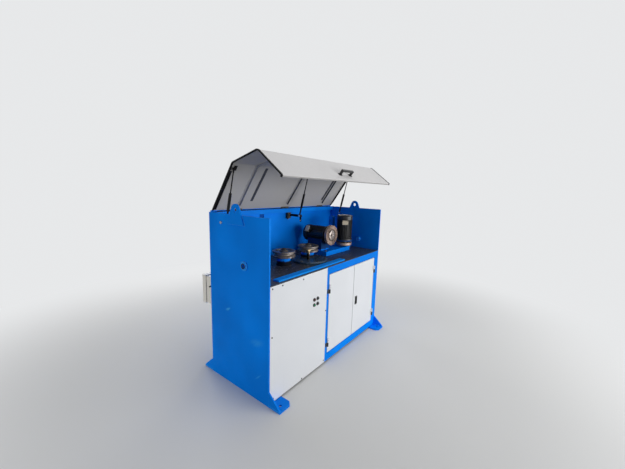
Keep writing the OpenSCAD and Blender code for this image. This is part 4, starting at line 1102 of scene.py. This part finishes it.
def motor_bolts():
    """Bolts of both motors' flanges and of the platform's corners."""
    x, y, z = FLAT_MOTOR
    places = [(spot(*place), (0, -1, 0)) for place in ring(x, y, z, 79, 4, "y", 45)]
    x, y, z = TALL_MOTOR
    places += [(spot(*place), (0, 0, -1)) for place in ring(x, y, z - 12, 76, 4, "z", 45)]
    from_edge = 24
    for x in (PLATFORM_X[0] + from_edge, PLATFORM_X[1] - from_edge):
        for y in (PLATFORM_Y[0] + from_edge, PLATFORM_Y[1] - from_edge):
            places.append((spot(x, y, PLATFORM_TOP), (0, 0, 1)))
    dark_fasteners(hex_head(0.014, 0.008, 0.0115), places, "drive_bolts")


def terminal_details():
    """Lid screws, a seal under each lid and a closed cable gland on each terminal box."""
    screws, glands, seals = [], [], []
    lies_down = Matrix.Rotation(math.radians(-90), 4, "X")
    for face, lie, turn in ((FLAT_MOTOR, lies_down, -60), (TALL_MOTOR, Matrix.Identity(4), -55)):
        motor = Matrix.Translation(spot(*face)) @ lie @ Matrix.Rotation(math.radians(turn), 4, "Z")
        rotate = motor.to_3x3()
        for x in (-0.025, 0.025):
            for z in (0.178, 0.210):
                screws.append((motor @ Vector((x, -0.112, z)), rotate @ Vector((0, -1, 0))))
        glands.append((motor @ Vector((0, -0.095, 0.172)), rotate @ Vector((0, 0, -1))))
        seal = block((-0.032, -0.1068, 0.171), (0.032, -0.1052, 0.217))
        round_off(seal, 0.0005, 2)
        seals.append(put(seal, motor))
    dark_fasteners(cap_screw(0.0028, 0.0016), screws, "terminal_screws")
    settle(fuse(seals), "terminal_seals", "root", "rubber")
    settle(repeat(gland(0.0085), glands), "terminal_glands", "root", "black_plastic")


def disc_screws():
    places = ring(*BASE_DISC, DISC_TOP, DISC_SCREW_R, 6, "z", 10)
    dark_fasteners(cap_screw(0.009, 0.006), [(spot(*place), (0, 0, 1)) for place in places], "disc_screws")


def wire_eyes():
    """Wear rings in the mouths of the wire bushings and of the wire guide, black and wide so that they also
    stand for the shade in the bores as painted shade.
    """
    eyes = []
    for x, way, hole, rim in ((-14, -1, 14.3, 20.5), (LENGTH + 14, 1, 14.3, 20.5), (718, -1, 6.3, 9.5)):
        reach, thick = (hole + rim) / 2000, (rim - hole) / 2000
        bpy.ops.mesh.primitive_torus_add(major_segments=40, minor_segments=10, major_radius=reach,
                                         minor_radius=thick)
        eye = bpy.context.object
        edit(eye, "VERT")
        pick_points(eye, lambda c: c.z < -0.0008)
        stretch(1.0, 1.0, 0.4)
        leave()
        freeze(eye)
        face = Matrix.Translation(spot(x, WIRE_Y, WIRE_Z)) @ Matrix.Rotation(way * math.pi / 2, 4, "Y")
        eyes.append(put(eye, face))
    settle(fuse(eyes), "wire_eyes", "root", "strut_black", angle=60)


# Cover, struts and boxes

def cover_spots(xs, alongs, out, panel=0, side=1):
    """Places on a panel of the cover with the way out of it, or into the cover where side is -1."""
    found = []
    for x in xs:
        for along in alongs:
            place, lean = on_cover(x, along, out, panel)
            found.append((place, out_of_cover(lean, side)))
    return found


def cover_fasteners():
    leaf_screws = cover_spots([x + dx for x in RIBS for dx in (-10, 10)], (20, 36), 4.0)
    dark_fasteners(cap_screw(0.0036, 0.0018), leaf_screws, "cover_hinge_screws", "cover")
    handle_screws = cover_spots((862 - 80, 862 + 80), (206 - 12.6, 206 + 12.6), 5.0, panel=2)
    settle(repeat(cap_screw(0.0034, 0.002), handle_screws), "handle_screws", "cover", "black_plastic")
    ear_screws = cover_spots((69, LENGTH - 69, 888), (386, 414), -7.0, side=-1)
    dark_fasteners(hex_head(0.008, 0.004), ear_screws, "ear_screws", "cover")


def arm_hanger():
    """A strap that hangs from the end of the middle strut's arm, with its bolt."""
    arm_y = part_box("strut_bracket")[0][1]
    left, right, low, high = spot(925, 0, 0).x, spot(932, 0, 0).x, 1.222, 1.272
    hanger = block((left, arm_y + 0.003, low), (right, arm_y + 0.021, high))
    edit(hanger)
    pick_edges(hanger, lambda a, b: abs(a.x - b.x) > 0.004 and max(a.z, b.z) < low + 0.008)
    bpy.ops.mesh.bevel(offset=0.0085, segments=5)
    leave()
    bolt = repeat(hex_head(0.010, 0.0045, 0.0080), [((left, arm_y + 0.012, low + 0.012), (-1, 0, 0))])
    settle(round_off(hanger, 0.0008), "arm_hanger", "root", "strut_black")
    settle(bolt, "hanger_bolt", "root", "bright_steel")


def wall_fittings():
    """Bolts of the middle strut's arm, its hanger, and the screws and gland of the safety switch."""
    bolts = [(spot(930, 656, z), (0, -1, 0)) for z in (1257, 1301)]
    dark_fasteners(hex_head(0.010, 0.006, 0.0085), bolts, "arm_bolts")
    screws = [(spot(x, 634, z), (0, -1, 0)) for x in (881, 905) for z in (1253, 1299)]
    dark_fasteners(cap_screw(0.0028, 0.0016), screws, "switch_screws")
    arm_hanger()
    switch_gland = put(gland(0.008), Matrix.Translation(spot(893, 649, 1304)))
    settle(switch_gland, "switch_gland", "root", "black_plastic")


def wall_tab(x0, x1, z):
    """A lug with rounded corners that holds the junction box to the back wall."""
    tab = block(spot(x0, DEPTH, z), spot(x1, DEPTH + 3, z + 22))
    edit(tab)
    pick_edges(tab, lambda a, b: abs(a.y - b.y) > 0.001)
    bpy.ops.mesh.bevel(offset=0.004, segments=3)
    leave()
    return tab


def box_fittings():
    """Glands under the junction box and at its side, its lid screws, its seal and its wall tabs."""
    glands = [(spot(x, 717, 580), (0, 0, -1)) for x in (70, 130, 190, 250)]
    side_gland = Vector((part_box("junction_box")[0][0], spot(0, 704, 0).y, 0.731))
    glands.append((side_gland, (-1, 0, 0), 0.0, 0.5))
    settle(repeat(gland(0.013), glands), "box_glands", "root", "black_plastic")
    screws = [(spot(x, 810, z), (0, 1, 0)) for x in (26, 302) for z in (588, 802)]
    dark_fasteners(cap_screw(0.006, 0.004), screws, "box_screws")
    seal = block(spot(18, 761.5, 579), spot(310, 764, 811))
    round_off(seal, 0.0008, 2)
    settle(seal, "box_seal", "root", "rubber")
    tab_zs = (600, 772)
    tabs = [wall_tab(x0, x1, z) for x0, x1 in ((9, 25), (303, 319)) for z in tab_zs]
    heads = [(spot(x, DEPTH + 3, z + 11), (0, 1, 0)) for x in (13, 315) for z in tab_zs]
    tabs.append(repeat(hex_head(0.008, 0.004), heads))
    settle(fuse(tabs), "box_tabs", "root", "dark_steel")


set_camera()
clear()
set_lamps()
set_hall()
set_floor()
dress_nodes()
frame_welds()
platform_welds()
housing_welds()
panel_screws()
wall_screws()
door_hinge_screws()
deck_scale()
port_shade_blank()
rail_seal()
cover_side_seals()
brush_wires("flat_brush_wires", "horizontal_brush", "flat_bristles", FLAT_BRUSH, (0, 1, 0), 0.1005)
brush_wires("tall_brush_wires", "vertical_brush", "tall_bristles", TALL_BRUSH, (0, 0, 1), 0.0845)
brush_boss("flat_brush_boss", "horizontal_brush", FLAT_BRUSH, (0, -1, 0), 0.018)
brush_boss("tall_brush_boss", "vertical_brush", TALL_BRUSH, (0, 0, -1), 0.013)
motor_bolts()
terminal_details()
disc_screws()
wire_eyes()
cover_fasteners()
wall_fittings()
box_fittings()
bpy.context.scene.view_settings.view_transform = "Standard"
